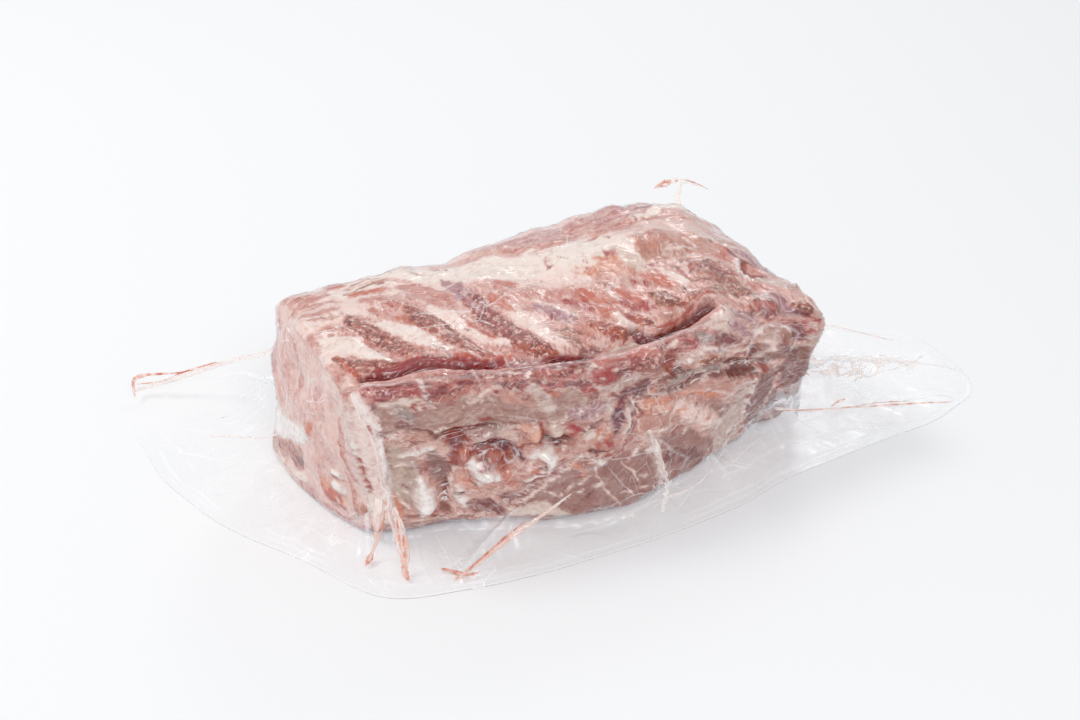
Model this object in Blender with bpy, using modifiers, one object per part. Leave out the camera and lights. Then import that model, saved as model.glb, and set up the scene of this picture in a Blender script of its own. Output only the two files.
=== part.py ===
"""Vacuum pack of bone-in pork collar: a sawn block of meat in a clear flat bag, lying with the ribs on top.

The film clings to the meat and can't be told from it as a shape, so the sealed pack is one solid: the block, the flat
margin of the bag round its foot, and the upright webs of film where the bag is pinched.

Frame: +X along the block, from its square sawn end to its tapered end, -Y towards the side with the backbone, +Z up.
The origin is on the flat underside, under the middle of the block. Metres.
"""

import math

import bmesh
import bpy
from mathutils import Vector
from mathutils import noise

MM = 0.001

# The block is a box warped between four long edges. Each edge is met at evenly spaced stations along the block.
TOP_BACK = ((-115, 47, 91), (-66, 51, 89), (-20, 54, 84), (30, 57, 89), (76, 53, 94), (116, 39, 82))
TOP_FRONT = ((-117, -43, 89), (-68, -55, 89), (-20, -64, 87), (30, -64, 85), (76, -60, 81), (122, -66, 72))
FOOT_FRONT = ((-96, -50, 1), (-58, -65, 1), (-14, -77, 1), (28, -75, 1), (74, -58, 1), (122, -42, 1))
FOOT_BACK = ((-126, 41, 1), (-66, 50, 1), (-20, 54, 1), (30, 55, 1), (76, 51, 1), (112, 37, 1))
FOOT_HEIGHT = 1 * MM  # the block's foot is sunk in the film, whose underside is the flat base
BLOCK_CELLS = (46, 17, 14)  # mesh cells along, across and up the block
END_RADII = (0.045, 0.085)  # rounding of the block's left and right ends, as a share of its half length
EDGE_RADII = {"top_back": 0.36, "top_front": 0.26, "foot_front": 0.22, "foot_back": 0.30}  # of the half width
END_BULGE = 7 * MM  # at the square end it carries on down to the foot
TOP_CROWN = 4 * MM

# The blood-filled slot between the sawn ribs and the backbone.
SLOT_DEPTH = 9 * MM
SLOT_HALF_WIDTH = 3.4 * MM
SLOT_HALF_LENGTH = 88 * MM
SLOT_LINE = ((-108, -37), (-60, -44), (-14, -51), (26, -49), (58, -40), (86, -22))

# Ribs are sawn lengthwise, and each stands a little proud of the fat between them.
RIB_COUNT = 5
RIB_PITCH = 27 * MM
RIB_FIRST_X = -92 * MM
RIB_FOOT_Y = -36 * MM
RIB_LENGTH = 46 * MM
RIB_HALF_WIDTH = 6.5 * MM
RIB_SLANT = math.radians(48)
RIB_RISE = 2.0 * MM

# Unevenness of the flesh: height, and size of its lumps.
UNEVEN_BROAD = (3.2 * MM, 29 * MM)
UNEVEN_FINE = (1.6 * MM, 13 * MM)
HOLLOW = (6, 38, 62, 13, -7)  # on the front: x, z, half length, half height, rise, in millimetres
MUSCLE = (62, 22, 38, 20, 5)

# The flat margin of the bag: its outline on the table, and its height at the edge and where it meets the block.
MARGIN_OUTLINE = (
    (-178, 118), (-184, 60), (-166, 4), (-134, -58), (-104, -86), (-58, -97), (-4, -98), (44, -98),
    (100, -87), (160, -84), (204, -74), (224, -52), (216, 30), (204, 116), (176, 136), (60, 122), (-80, 126),
)
MARGIN_EDGE = 1.6 * MM
MARGIN_FOOT = 9 * MM
MARGIN_REACH = 40 * MM  # how far from the block the margin has sunk to its edge height
MARGIN_SPACING = 18 * MM  # between the cuts that let the sheet bend

# Upright webs of pinched film: the crest of each, outwards from the block.
WEB_THICKNESS = 1.6 * MM
WEBS = {
    "left": ((-104, 36, 76), (-118, 64, 52), (-126, 88, 30), (-142, 100, 18), (-172, 112, 7)),
    "right": ((106, -50, 62), (132, -46, 38), (156, -38, 25), (186, -44, 15), (210, -56, 7)),
    "corner": ((-100, -36, 84), (-108, -52, 74), (-104, -58, 36), (-102, -66, 10), (-103, -76, 4)),
    "front": ((14, -62, 42), (-9, -74, 34), (-30, -79, 26), (-50, -77, 14), (-66, -79, 7), (-80, -85, 4)),
}
EAR_STEM = ((98, 30, 62), (108, 46, 76), (113, 60, 80))  # the pinched corner that stands up behind the block
EAR_HALF_STEM = 2.4 * MM
EAR_HALF_BAR = 11 * MM


def clear_scene():
    for old in list(bpy.data.objects):
        bpy.data.objects.remove(old, do_unlink=True)


def along(stations, share):
    """The point at this share of the way along evenly spaced stations, on a smooth curve through them."""
    spans = len(stations) - 1
    place = min(max(share, 0.0), 1.0) * spans
    first = min(int(place), spans - 1)
    t = place - first
    before, start, end, after = (
        Vector(stations[min(max(first + step, 0), spans)]) for step in (-1, 0, 1, 2)
    )
    leaving = (end - before) / 2
    arriving = (after - start) / 2
    point = (
        start * (2 * t**3 - 3 * t**2 + 1)
        + leaving * (t**3 - 2 * t**2 + t)
        + end * (3 * t**2 - 2 * t**3)
        + arriving * (t**3 - t**2)
    )
    return point * MM


def rounded_corner(across, up):
    """Moves a point of the square section so that the corner it is nearest to is rounded."""
    height = "top" if up > 0 else "foot"
    side = "back" if across > 0 else "front"
    radius = EDGE_RADII[f"{height}_{side}"]
    flat = 1 - radius
    past_across = max(abs(across) - flat, 0) / radius
    past_up = max(abs(up) - flat, 0) / radius
    reach = math.hypot(past_across, past_up)
    if min(past_across, past_up) == 0:
        return across, up
    kept = max(past_across, past_up) / reach * radius
    return (
        math.copysign(flat + past_across * kept, across),
        math.copysign(flat + past_up * kept, up),
    )


def block_point(length, across, up):
    """Where a point of the unit box, from -1 to 1 each way, lies on the block."""
    radius = END_RADII[0] if length < 0 else END_RADII[1]
    past = max(abs(length) - (1 - radius), 0) / radius
    turned = math.sin(past * math.pi / 2)
    drawn_in = radius * (1 - math.cos(past * math.pi / 2))
    length = math.copysign(min(abs(length), 1 - radius) + radius * turned, length)
    across, up = rounded_corner(across, up)
    across *= 1 - drawn_in
    up = up * (1 - drawn_in) if up > 0 else up

    share = (length + 1) / 2
    back = (across + 1) / 2
    height = (up + 1) / 2
    foot = along(FOOT_FRONT, share).lerp(along(FOOT_BACK, share), back)
    top = along(TOP_FRONT, share).lerp(along(TOP_BACK, share), back)
    point = foot.lerp(top, height)

    if length > 0.98:
        point.x += END_BULGE * (1 - up * up) * (1 - across * across)
    if length < -0.98:
        point.x -= END_BULGE * (1 - max(up, 0) ** 2) * (1 - across * across)
    point.z += TOP_CROWN * max(up, 0) * (1 - across * across) * math.sqrt(1 - length * length)
    return point


def gap_to_line(x, y, line):
    """The distance, seen from above, from a point to a line through evenly spaced stations."""
    steps = 40
    return min((along(line, step / steps) - Vector((x, y))).length for step in range(steps + 1))


def slot_depth(point):
    """How far the slot beside the backbone cuts into the top at this point. It runs out before either end."""
    gap = gap_to_line(point.x, point.y, SLOT_LINE)
    running_out = math.exp(-(((point.x + 12 * MM) / SLOT_HALF_LENGTH) ** 6))
    return SLOT_DEPTH * running_out * math.exp(-((gap / SLOT_HALF_WIDTH) ** 2))


def rib_rise(point):
    """How far the sawn ribs stand proud of the top at this point."""
    rise = 0.0
    lean = Vector((-math.sin(RIB_SLANT), math.cos(RIB_SLANT)))
    for number in range(RIB_COUNT):
        foot = Vector((RIB_FIRST_X + number * RIB_PITCH, RIB_FOOT_Y))
        from_foot = Vector((point.x, point.y)) - foot
        ahead = from_foot.dot(lean) / RIB_LENGTH
        aside = from_foot.cross(lean) / RIB_HALF_WIDTH
        rise += RIB_RISE * math.exp(-(aside**2) - (2 * ahead - 1) ** 4)
    return rise


def flesh_swell(point, normal):
    """How far the flesh swells or sinks: uneven all over, hollow under the backbone, full at the front's right."""
    swell = UNEVEN_BROAD[0] * noise.noise(point / UNEVEN_BROAD[1] + Vector((3.1, 0.4, 7.7)))
    swell += UNEVEN_FINE[0] * noise.noise(point / UNEVEN_FINE[1] + Vector((0.0, 5.2, 1.3)))
    if normal.y < -0.3:
        swell += mound(point, HOLLOW) + mound(point, MUSCLE)
    return swell


def mound(point, shape):
    """A rounded rise, or a hollow if its height is negative, on the front of the block."""
    x, z, half_length, half_height, height = (size * MM for size in shape)
    return height * math.exp(-(((point.x - x) / half_length) ** 4) - ((point.z - z) / half_height) ** 2)


def split_box(cells):
    """A closed box from -1 to 1 each way, split into this many cells along each axis."""
    box = bmesh.new()
    bmesh.ops.create_cube(box, size=2)
    for axis, count in enumerate(cells):
        lengthwise = [
            edge for edge in box.edges
            if abs(edge.verts[0].co[axis] - edge.verts[1].co[axis]) > 1.9
        ]
        bmesh.ops.subdivide_edges(box, edges=lengthwise, cuts=count - 1, use_grid_fill=True)
    return box


def make_block():
    """The block of meat with its ribs, slot and muscles, flat underneath."""
    box = split_box(BLOCK_CELLS)
    for vert in box.verts:
        vert.co = block_point(*vert.co)
    box.normal_update()
    moves = []
    for vert in box.verts:
        if vert.co.z < FOOT_HEIGHT + 0.2 * MM:
            moves.append((vert, 0.0))
            continue
        moved = flesh_swell(vert.co, vert.normal)
        if vert.normal.z > 0.6:
            moved += rib_rise(vert.co) - slot_depth(vert.co)
        moves.append((vert, moved))
    for vert, moved in moves:
        vert.co += vert.normal * moved
        vert.co.z = max(vert.co.z, FOOT_HEIGHT)
    bmesh.ops.triangulate(box, faces=box.faces)
    return to_object("vacuum_pack", box)


def to_object(name, shape):
    """Makes an object of a bmesh, with its triangles turned outwards."""
    bmesh.ops.recalc_face_normals(shape, faces=shape.faces)
    mesh = bpy.data.meshes.new(name)
    shape.to_mesh(mesh)
    shape.free()
    made = bpy.data.objects.new(name, mesh)
    bpy.context.scene.collection.objects.link(made)
    return made


def block_gap(x, y):
    """Roughly how far a point on the table is from the block's foot. It is negative under the block."""
    left = FOOT_BACK[0][0] * MM
    right = FOOT_FRONT[-1][0] * MM
    share = (x - left) / (right - left)
    beside = max(along(FOOT_FRONT, share).y - y, y - along(FOOT_BACK, share).y)
    beyond = max(left - x, x - right)
    if beside > 0 and beyond > 0:
        return math.hypot(beside, beyond)
    return max(beside, beyond)


def make_margin():
    """The flat margin of the bag: an even sheet that sinks from the block's foot to its sealed edge."""
    outline = bpy.data.curves.new("margin", "CURVE")
    outline.dimensions = "2D"
    outline.fill_mode = "BOTH"
    outline.resolution_u = 3
    edge = outline.splines.new("BEZIER")
    edge.bezier_points.add(len(MARGIN_OUTLINE) - 1)
    for point, (x, y) in zip(edge.bezier_points, MARGIN_OUTLINE):
        point.co = (x * MM, y * MM, 0)
        point.handle_left_type = point.handle_right_type = "AUTO"
    edge.use_cyclic_u = True
    flat = bpy.data.objects.new("margin", outline)
    bpy.context.scene.collection.objects.link(flat)
    bpy.context.view_layer.update()
    mesh = bpy.data.meshes.new_from_object(flat.evaluated_get(bpy.context.evaluated_depsgraph_get()))
    bpy.data.objects.remove(flat)

    sheet = bmesh.new()
    sheet.from_mesh(mesh)
    bmesh.ops.remove_doubles(sheet, verts=sheet.verts, dist=0.01 * MM)
    for axis in (0, 1):
        low = min(vert.co[axis] for vert in sheet.verts)
        high = max(vert.co[axis] for vert in sheet.verts)
        cuts = int((high - low) / MARGIN_SPACING)
        for cut in range(1, cuts):
            place = Vector((0, 0, 0))
            facing = Vector((0, 0, 0))
            place[axis] = low + (high - low) * cut / cuts
            facing[axis] = 1
            whole = [*sheet.verts, *sheet.edges, *sheet.faces]
            bmesh.ops.bisect_plane(sheet, geom=whole, plane_co=place, plane_no=facing)
    bmesh.ops.triangulate(sheet, faces=sheet.faces)
    grown = bmesh.ops.extrude_face_region(sheet, geom=list(sheet.faces))
    for part in grown["geom"]:
        if isinstance(part, bmesh.types.BMVert):
            gap = max(block_gap(part.co.x, part.co.y), 0)
            left = max(1 - gap / MARGIN_REACH, 0)
            part.co.z = MARGIN_EDGE + (MARGIN_FOOT - MARGIN_EDGE) * left**2
    bpy.data.meshes.remove(mesh)
    return to_object("margin", sheet)


def make_wall(name, crest):
    """An upright web of film: a thin wall that stands under its crest, its foot inside the margin."""
    web = bmesh.new()
    uppers = [web.verts.new(Vector(point) * MM) for point in crest]
    lowers = [web.verts.new(Vector((upper.co.x, upper.co.y, MARGIN_EDGE / 2))) for upper in uppers]
    for i in range(len(crest) - 1):
        web.faces.new((uppers[i], uppers[i + 1], lowers[i + 1], lowers[i]))
    return thickened(to_object(name, web))


def thickened(sheet):
    """Gives a sheet of pinched film its thickness."""
    thick = sheet.modifiers.new("film", "SOLIDIFY")
    thick.thickness = WEB_THICKNESS
    thick.offset = 0
    return sheet


def make_ear():
    """The pinched corner behind the block: a stem that stands up and ends in a short bar."""
    ear = bmesh.new()
    rows = []
    for point in EAR_STEM:
        middle = Vector(point) * MM
        rows.append([ear.verts.new(middle + Vector((side * EAR_HALF_STEM, 0, 0))) for side in (-1, 1)])
    for lower, upper in zip(rows, rows[1:]):
        ear.faces.new((lower[0], lower[1], upper[1], upper[0]))
    tip = Vector(EAR_STEM[-1]) * MM
    left = ear.verts.new(tip + Vector((-EAR_HALF_BAR, 1 * MM, 0)))
    right = ear.verts.new(tip + Vector((EAR_HALF_BAR, 1 * MM, 0)))
    crown = ear.verts.new(tip + Vector((0, 3 * MM, 4 * MM)))
    ear.faces.new((rows[-1][0], rows[-1][1], right, crown, left))
    return thickened(to_object("ear", ear))


def join_to(body, other):
    """Joins a piece of film to the pack, and keeps the joined piece only as a helper."""
    union = body.modifiers.new(other.name, "BOOLEAN")
    union.operation = "UNION"
    union.object = other
    other.hide_render = True
    other.display_type = "WIRE"


def film_material():
    """Meat seen through clear, glossy film."""
    look = bpy.data.materials.new("packed_meat")
    look.use_nodes = True
    shader = look.node_tree.nodes["Principled BSDF"]
    shader.inputs["Base Color"].default_value = (0.52, 0.26, 0.23, 1)
    shader.inputs["Roughness"].default_value = 0.25
    shader.inputs["Metallic"].default_value = 0.0
    return look


def main():
    clear_scene()
    pack = make_block()
    pack.data.materials.append(film_material())
    pieces = [make_margin()]
    pieces += [make_wall(f"web_{name}", crest) for name, crest in WEBS.items()]
    pieces.append(make_ear())
    for piece in pieces:
        join_to(pack, piece)

    parts = bpy.data.collections.new("pork_collar_pack")
    helpers = bpy.data.collections.new("joined_film")
    for group in (parts, helpers):
        bpy.context.scene.collection.children.link(group)
    for made, group in [(pack, parts), *((piece, helpers) for piece in pieces)]:
        bpy.context.scene.collection.objects.unlink(made)
        group.objects.link(made)
    pack.data.shade_smooth()
    pack.data.set_sharp_from_angle(angle=math.radians(40))


main()
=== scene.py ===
import math
import random

import bmesh
import bpy
import numpy as np
from mathutils import Matrix, Vector, noise
from mathutils.bvhtree import BVHTree


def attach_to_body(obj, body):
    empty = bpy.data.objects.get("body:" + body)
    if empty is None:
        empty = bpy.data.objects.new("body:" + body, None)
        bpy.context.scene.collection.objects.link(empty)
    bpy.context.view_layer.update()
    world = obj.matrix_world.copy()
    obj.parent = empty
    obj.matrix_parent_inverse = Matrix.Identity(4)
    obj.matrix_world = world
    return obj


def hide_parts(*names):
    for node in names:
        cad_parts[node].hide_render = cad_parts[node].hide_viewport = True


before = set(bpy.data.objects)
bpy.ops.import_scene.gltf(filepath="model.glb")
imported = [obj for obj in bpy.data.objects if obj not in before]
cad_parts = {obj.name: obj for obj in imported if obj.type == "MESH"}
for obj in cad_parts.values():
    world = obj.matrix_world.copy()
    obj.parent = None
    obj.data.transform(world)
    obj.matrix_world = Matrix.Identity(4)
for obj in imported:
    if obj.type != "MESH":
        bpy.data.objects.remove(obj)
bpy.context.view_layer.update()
mm = 0.001

# Vacuum pack of bone-in pork collar. All sizes are in millimetres until a mesh is made.

# The block of meat: its four long edges from left to right as points of (x, y, z).

block = dict(
    topBack=((-115, 47, 91), (-66, 51, 89), (-20, 54, 84), (30, 57, 89), (76, 53, 92), (116, 39, 76)),
    topFront=((-117, -43, 89), (-68, -55, 89), (-20, -64, 87), (30, -64, 85), (76, -60, 81), (122, -66, 72)),
    footFront=((-104, -43, 1), (-60, -60, 1), (-14, -77, 1), (28, -76, 1), (74, -58, 1), (122, -42, 1)),
    footBack=((-126, 42, 1), (-66, 50, 1), (-20, 54, 1), (30, 55, 1), (76, 51, 1), (112, 37, 1)),
    cells=(224, 102, 80),  # along, across, up
    endRadii=(0.045, 0.085),  # left, right, as a share of half the length
    radii=dict(topBack=0.36, topFront=0.26, footFront=0.26, footBack=0.30),
    endBulge=7,
    crown=4,
    girth=(112, 90),  # nominal width of the top and height of the sides, for the wrapped chart
)


def along(stations, share):
    # smooth curve through evenly spaced stations, for an array of shares from 0 to 1
    stations = np.array(stations, float)
    spans = len(stations) - 1
    place = np.clip(share, 0, 1) * spans
    first = np.minimum(place.astype(int), spans - 1)
    t = (place - first)[:, None]
    before, start, end, after = (stations[np.clip(first + step, 0, spans)] for step in (-1, 0, 1, 2))
    leaving = (end - before) / 2
    arriving = (after - start) / 2
    return (
        start * (2 * t**3 - 3 * t**2 + 1)
        + leaving * (t**3 - 2 * t**2 + t)
        + end * (3 * t**2 - 2 * t**3)
        + arriving * (t**3 - t**2)
    )


def roundCorners(across, up):
    # pulls the corners of the square section in to their radii
    level = np.where(up > 0, "top", "foot").astype(object)
    names = level + np.where(across > 0, "Back", "Front").astype(object)
    radius = np.array([block["radii"][name] for name in names])
    pastAcross = np.maximum(np.abs(across) - (1 - radius), 0) / radius
    pastUp = np.maximum(np.abs(up) - (1 - radius), 0) / radius
    corner = np.minimum(pastAcross, pastUp) > 0
    reach = np.where(corner, np.hypot(pastAcross, pastUp), 1)
    kept = np.where(corner, np.maximum(pastAcross, pastUp) / reach, 1) * radius
    across = np.sign(across) * (np.minimum(np.abs(across), 1 - radius) + pastAcross * kept)
    up = np.sign(up) * (np.minimum(np.abs(up), 1 - radius) + pastUp * kept)
    return across, up


def placeBlock(cube):
    # where points of the unit cube lie on the smooth block
    length, across, up = cube.T
    radius = np.where(length < 0, block["endRadii"][0], block["endRadii"][1])
    past = np.maximum(np.abs(length) - (1 - radius), 0) / radius
    drawnIn = radius * (1 - np.cos(past * math.pi / 2))
    length = np.sign(length) * (np.minimum(np.abs(length), 1 - radius) + radius * np.sin(past * math.pi / 2))
    across, up = roundCorners(across, up)
    across = across * (1 - drawnIn)
    up = np.where(up > 0, up * (1 - drawnIn), up)
    share = (length + 1) / 2
    back = ((across + 1) / 2)[:, None]
    height = ((up + 1) / 2)[:, None]
    foot = along(block["footFront"], share) * (1 - back) + along(block["footBack"], share) * back
    top = along(block["topFront"], share) * (1 - back) + along(block["topBack"], share) * back
    points = foot * (1 - height) + top * height
    lowest = np.where(length < 0, np.maximum(up, 0), up)  # the left end stays full down to its foot
    belly = (1 - lowest**2) * (1 - across**2) * np.clip((np.abs(length) - 0.9) / 0.1, 0, 1)
    points[:, 0] += np.sign(length) * block["endBulge"] * belly
    crown = block["crown"] * np.maximum(up, 0) * (1 - across * across)
    points[:, 2] += crown * np.sqrt(np.maximum(1 - length * length, 0))
    return points


def splitCube(cells):
    # closed cube from -1 to 1, split into this many cells each way
    cube = bmesh.new()
    bmesh.ops.create_cube(cube, size=2)
    for axis, count in enumerate(cells):
        lengthwise = [e for e in cube.edges if abs(e.verts[0].co[axis] - e.verts[1].co[axis]) > 1.9]
        bmesh.ops.subdivide_edges(cube, edges=lengthwise, cuts=count - 1, use_grid_fill=True)
    bmesh.ops.recalc_face_normals(cube, faces=cube.faces)
    return cube


def coordsOf(mesh):
    coords = np.empty(len(mesh.vertices) * 3)
    mesh.vertices.foreach_get("co", coords)
    return coords.reshape(-1, 3)


def normalsOf(mesh):
    normals = np.empty(len(mesh.vertices) * 3)
    mesh.vertex_normals.foreach_get("vector", normals)
    return normals.reshape(-1, 3)


def setCoords(mesh, coords):
    mesh.vertices.foreach_set("co", coords.ravel())
    mesh.update()


def saveValues(mesh, name, values):
    mesh.attributes.new(name, "FLOAT", "POINT").data.foreach_set("value", values)


def wrapChart(cube, points):
    # x, and the distance round the block from its front top edge: positive over the top and
    # on down the back, negative down the front
    across, up = cube[:, 1], cube[:, 2]
    width, height = block["girth"]
    onTop = up > 0.999
    onBack = (across > 0.999) & ~onTop
    round_ = np.where(onTop, (across + 1) / 2 * width, -(1 - up) / 2 * height)
    round_ = np.where(onBack, width + (1 - up) / 2 * height, round_)
    return np.stack((points[:, 0], round_), axis=1)


def makeSmoothBlock():
    cube = splitCube(block["cells"])
    mesh = bpy.data.meshes.new("meat")
    cube.to_mesh(mesh)
    cube.free()
    unit = coordsOf(mesh)
    points = placeBlock(unit)
    setCoords(mesh, points * mm)
    return mesh, unit, points


def sRgb(red, green, blue):
    # a colour given as 0 to 255 values, made linear
    values = np.array((red, green, blue)) / 255
    return np.where(values <= 0.04045, values / 12.92, ((values + 0.055) / 1.055) ** 2.4)


# What each tissue looks like: its colour under the film, how far it stands up from the flesh round it,
# how soft its edge is, how streaky that edge is, and how much of it shows as sawn bone, as fat or as wet. A
# few entries also carry painted highlights and painted shade, as said beside them.
tissues = dict(
    lean=dict(colour=(208, 156, 146), lift=0.5, soft=2.0, streak=2.2),
    paleLean=dict(colour=(224, 188, 180), lift=0.4, soft=2.6, streak=2.2),
    mauveLean=dict(colour=(206, 164, 162), lift=0.4, soft=2.4, streak=1.6),
    salmon=dict(colour=(203, 130, 112), lift=0.6, soft=1.4, streak=1.4, calm=0.7),
    redLean=dict(colour=(180, 84, 76), lift=0.3, soft=1.8, streak=1.8, speckle=0.2),
    redSpeck=dict(colour=(170, 62, 52), lift=0.0, soft=0.8, streak=0.6),
    tan=dict(colour=(200, 156, 142), lift=0.6, soft=2.0, streak=1.6),
    fat=dict(colour=(245, 227, 218), lift=1.0, soft=1.8, streak=2.4, fat=1, speckle=0.12),
    softFat=dict(colour=(238, 215, 207), lift=0.4, soft=4.0, streak=2.6, fat=0.6),
    cream=dict(colour=(218, 198, 186), lift=0.8, soft=2.6, streak=1.6, fat=0.7),
    peach=dict(colour=(224, 176, 158), lift=0.3, soft=2.2, streak=1.0, fat=0.3),
    deepPeach=dict(colour=(214, 146, 120), lift=0.8, soft=2.6, streak=1.6, wet=0.5, speckle=0.5),
    greySkin=dict(colour=(204, 184, 176), lift=0.3, soft=2.4, streak=1.4, fat=0.4),
    slate=dict(colour=(172, 152, 147), lift=0.0, soft=2.4, streak=0.8),
    ribBone=dict(colour=(186, 126, 114), lift=1.2, soft=1.0, streak=0.5, bone=1),
    ribRim=dict(colour=(198, 100, 74), lift=0.8, soft=1.0, streak=0.5, bone=0.3),
    brownBone=dict(colour=(170, 112, 94), lift=1.2, soft=1.0, streak=0.5, bone=1),
    sponge=dict(colour=(186, 104, 78), lift=0.8, soft=1.2, streak=0.6, bone=0.8),
    purpleBone=dict(colour=(174, 106, 108), lift=1.0, soft=1.4, streak=0.9, bone=0.9, speckle=0.2),
    pinkBone=dict(colour=(190, 134, 126), lift=0.8, soft=1.8, streak=1.2, bone=0.7, speckle=0.2),
    greyBone=dict(colour=(188, 150, 140), lift=1.0, soft=1.8, streak=1.0, bone=0.8, speckle=0.2),
    mauveFilm=dict(colour=(184, 148, 156), lift=0.2, soft=1.8, streak=0.8, bone=0.2),
    blood=dict(colour=(148, 42, 48), lift=-0.6, soft=1.1, streak=0.9, wet=1, speckle=0.2),
    darkBlood=dict(colour=(134, 38, 42), lift=-0.6, soft=1.1, streak=0.9, wet=1, speckle=0.1),
    crimson=dict(colour=(176, 30, 48), lift=0.3, soft=1.8, streak=1.4, wet=0.8, speckle=0.3),
    plum=dict(colour=(128, 46, 74), lift=-0.6, soft=1.3, streak=1.0, wet=0.9, speckle=0.1),
    wine=dict(colour=(144, 82, 84), lift=0.0, soft=2.0, streak=1.6, wet=0.4, speckle=0.3),
    brown=dict(colour=(154, 94, 76), lift=-0.5, soft=1.4, streak=1.0, wet=0.6),
    # dark brown laid into the hollows: the meat's colour darkened by painted shade
    darkBrown=dict(colour=(144, 80, 64), lift=-0.8, soft=1.2, streak=0.9, wet=0.9),
    rust=dict(colour=(170, 76, 46), lift=-0.5, soft=1.5, streak=1.1, wet=0.8, speckle=0.1),
    orangeJuice=dict(colour=(216, 142, 112), lift=0.0, soft=2.0, streak=1.4, wet=0.8, speckle=0.3),
    # thin white lines: fascia in places, and painted highlights along creases of the film in others
    whiteLine=dict(colour=(238, 218, 210), lift=0.3, soft=0.9, streak=0.6, fat=0.6),
    # white wet fat with a painted glint on it, standing for the film's highlight
    gloss=dict(colour=(255, 246, 243), lift=1.8, soft=2.4, streak=1.2, fat=0.6, wet=0.8, speckle=0.04),
    pinkKnob=dict(colour=(192, 124, 114), lift=1.2, soft=1.4, streak=0.3, wet=0.8),
    violet=dict(colour=(136, 76, 92), lift=0.0, soft=1.4, streak=1.0, wet=0.5, speckle=0.3),
    bandTan=dict(colour=(180, 144, 134), lift=0.0, soft=6.0, streak=3.0, calm=0.6),
    bandOlive=dict(colour=(194, 172, 160), lift=0.0, soft=6.0, streak=2.4, calm=0.7),
    bandPeach=dict(colour=(205, 160, 148), lift=0.0, soft=7.0, streak=3.0, calm=0.4),
    bandHaze=dict(colour=(228, 206, 200), lift=0.0, soft=5.0, streak=2.0, calm=0.6),
    muscle=dict(colour=(170, 128, 120), lift=0.8, soft=4.0, streak=1.6, calm=0.9),
    footShade=dict(colour=(160, 126, 126), lift=0.0, soft=5.0, streak=1.4, calm=0.6),
    softRed=dict(colour=(202, 152, 138), lift=0.6, soft=3.6, streak=2.0, calm=0.8),
    hazyMauve=dict(colour=(232, 208, 202), lift=0.3, soft=4.0, streak=2.0, calm=0.8),
    ribbon=dict(colour=(243, 224, 219), lift=0.8, soft=2.0, streak=1.6, calm=0.5, fat=0.3),
    ribbonEdge=dict(colour=(250, 238, 234), lift=0.8, soft=1.0, streak=1.4, fat=0.5),
    spinePink=dict(colour=(198, 134, 134), lift=0.4, soft=2.4, streak=1.4, bone=0.35, speckle=0.3),
    wisp=dict(colour=(246, 230, 224), lift=0.2, soft=0.9, streak=0.4, fat=0.4),
    redWisp=dict(colour=(168, 66, 58), lift=-0.1, soft=0.9, streak=0.4),
    darkWisp=dict(colour=(140, 76, 72), lift=-0.2, soft=0.9, streak=0.4),
    milkSkin=dict(colour=(238, 218, 215), lift=0.3, soft=2.6, streak=1.8, calm=0.5),
    ribFat=dict(colour=(241, 217, 208), lift=1.0, soft=1.8, streak=2.4, fat=0.75, speckle=0.25),
    rosyBone=dict(colour=(194, 118, 120), lift=1.0, soft=1.4, streak=0.9, bone=0.8, speckle=0.15),
    darkRib=dict(colour=(176, 108, 102), lift=1.2, soft=1.0, streak=0.5, bone=1),
    maroon=dict(colour=(148, 78, 76), lift=-0.2, soft=1.6, streak=1.2, wet=0.3),
    duskBone=dict(colour=(160, 132, 124), lift=1.0, soft=1.8, streak=1.0, bone=0.6, speckle=0.2),
    orangeFat=dict(colour=(238, 188, 166), lift=1.2, soft=2.2, streak=1.4, fat=0.3, wet=0.5),
    greyMuscle=dict(colour=(162, 124, 116), lift=0.2, soft=3.0, streak=1.4, calm=0.7),
    whiteFat=dict(colour=(255, 250, 243), lift=1.0, soft=1.4, streak=1.0, fat=0.6, wet=0.6),
    darkMuscle=dict(colour=(146, 98, 92), lift=0.6, soft=3.0, streak=1.4, calm=0.7),
    slotWall=dict(colour=(164, 50, 44), lift=-1.0, soft=1.4, streak=0.8, wet=1),
    deepSlot=dict(colour=(156, 32, 34), lift=-5.0, soft=1.4, streak=0.2, wet=1),
    slotLip=dict(colour=(222, 176, 172), lift=1.2, soft=0.8, streak=0.5, wet=0.6),
    filmedSlot=dict(colour=(198, 158, 164), lift=-2.6, soft=1.8, streak=0.4, wet=0.4),
    brownSlot=dict(colour=(146, 58, 38), lift=-6.0, soft=1.8, streak=0.3, wet=1),
)

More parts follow.
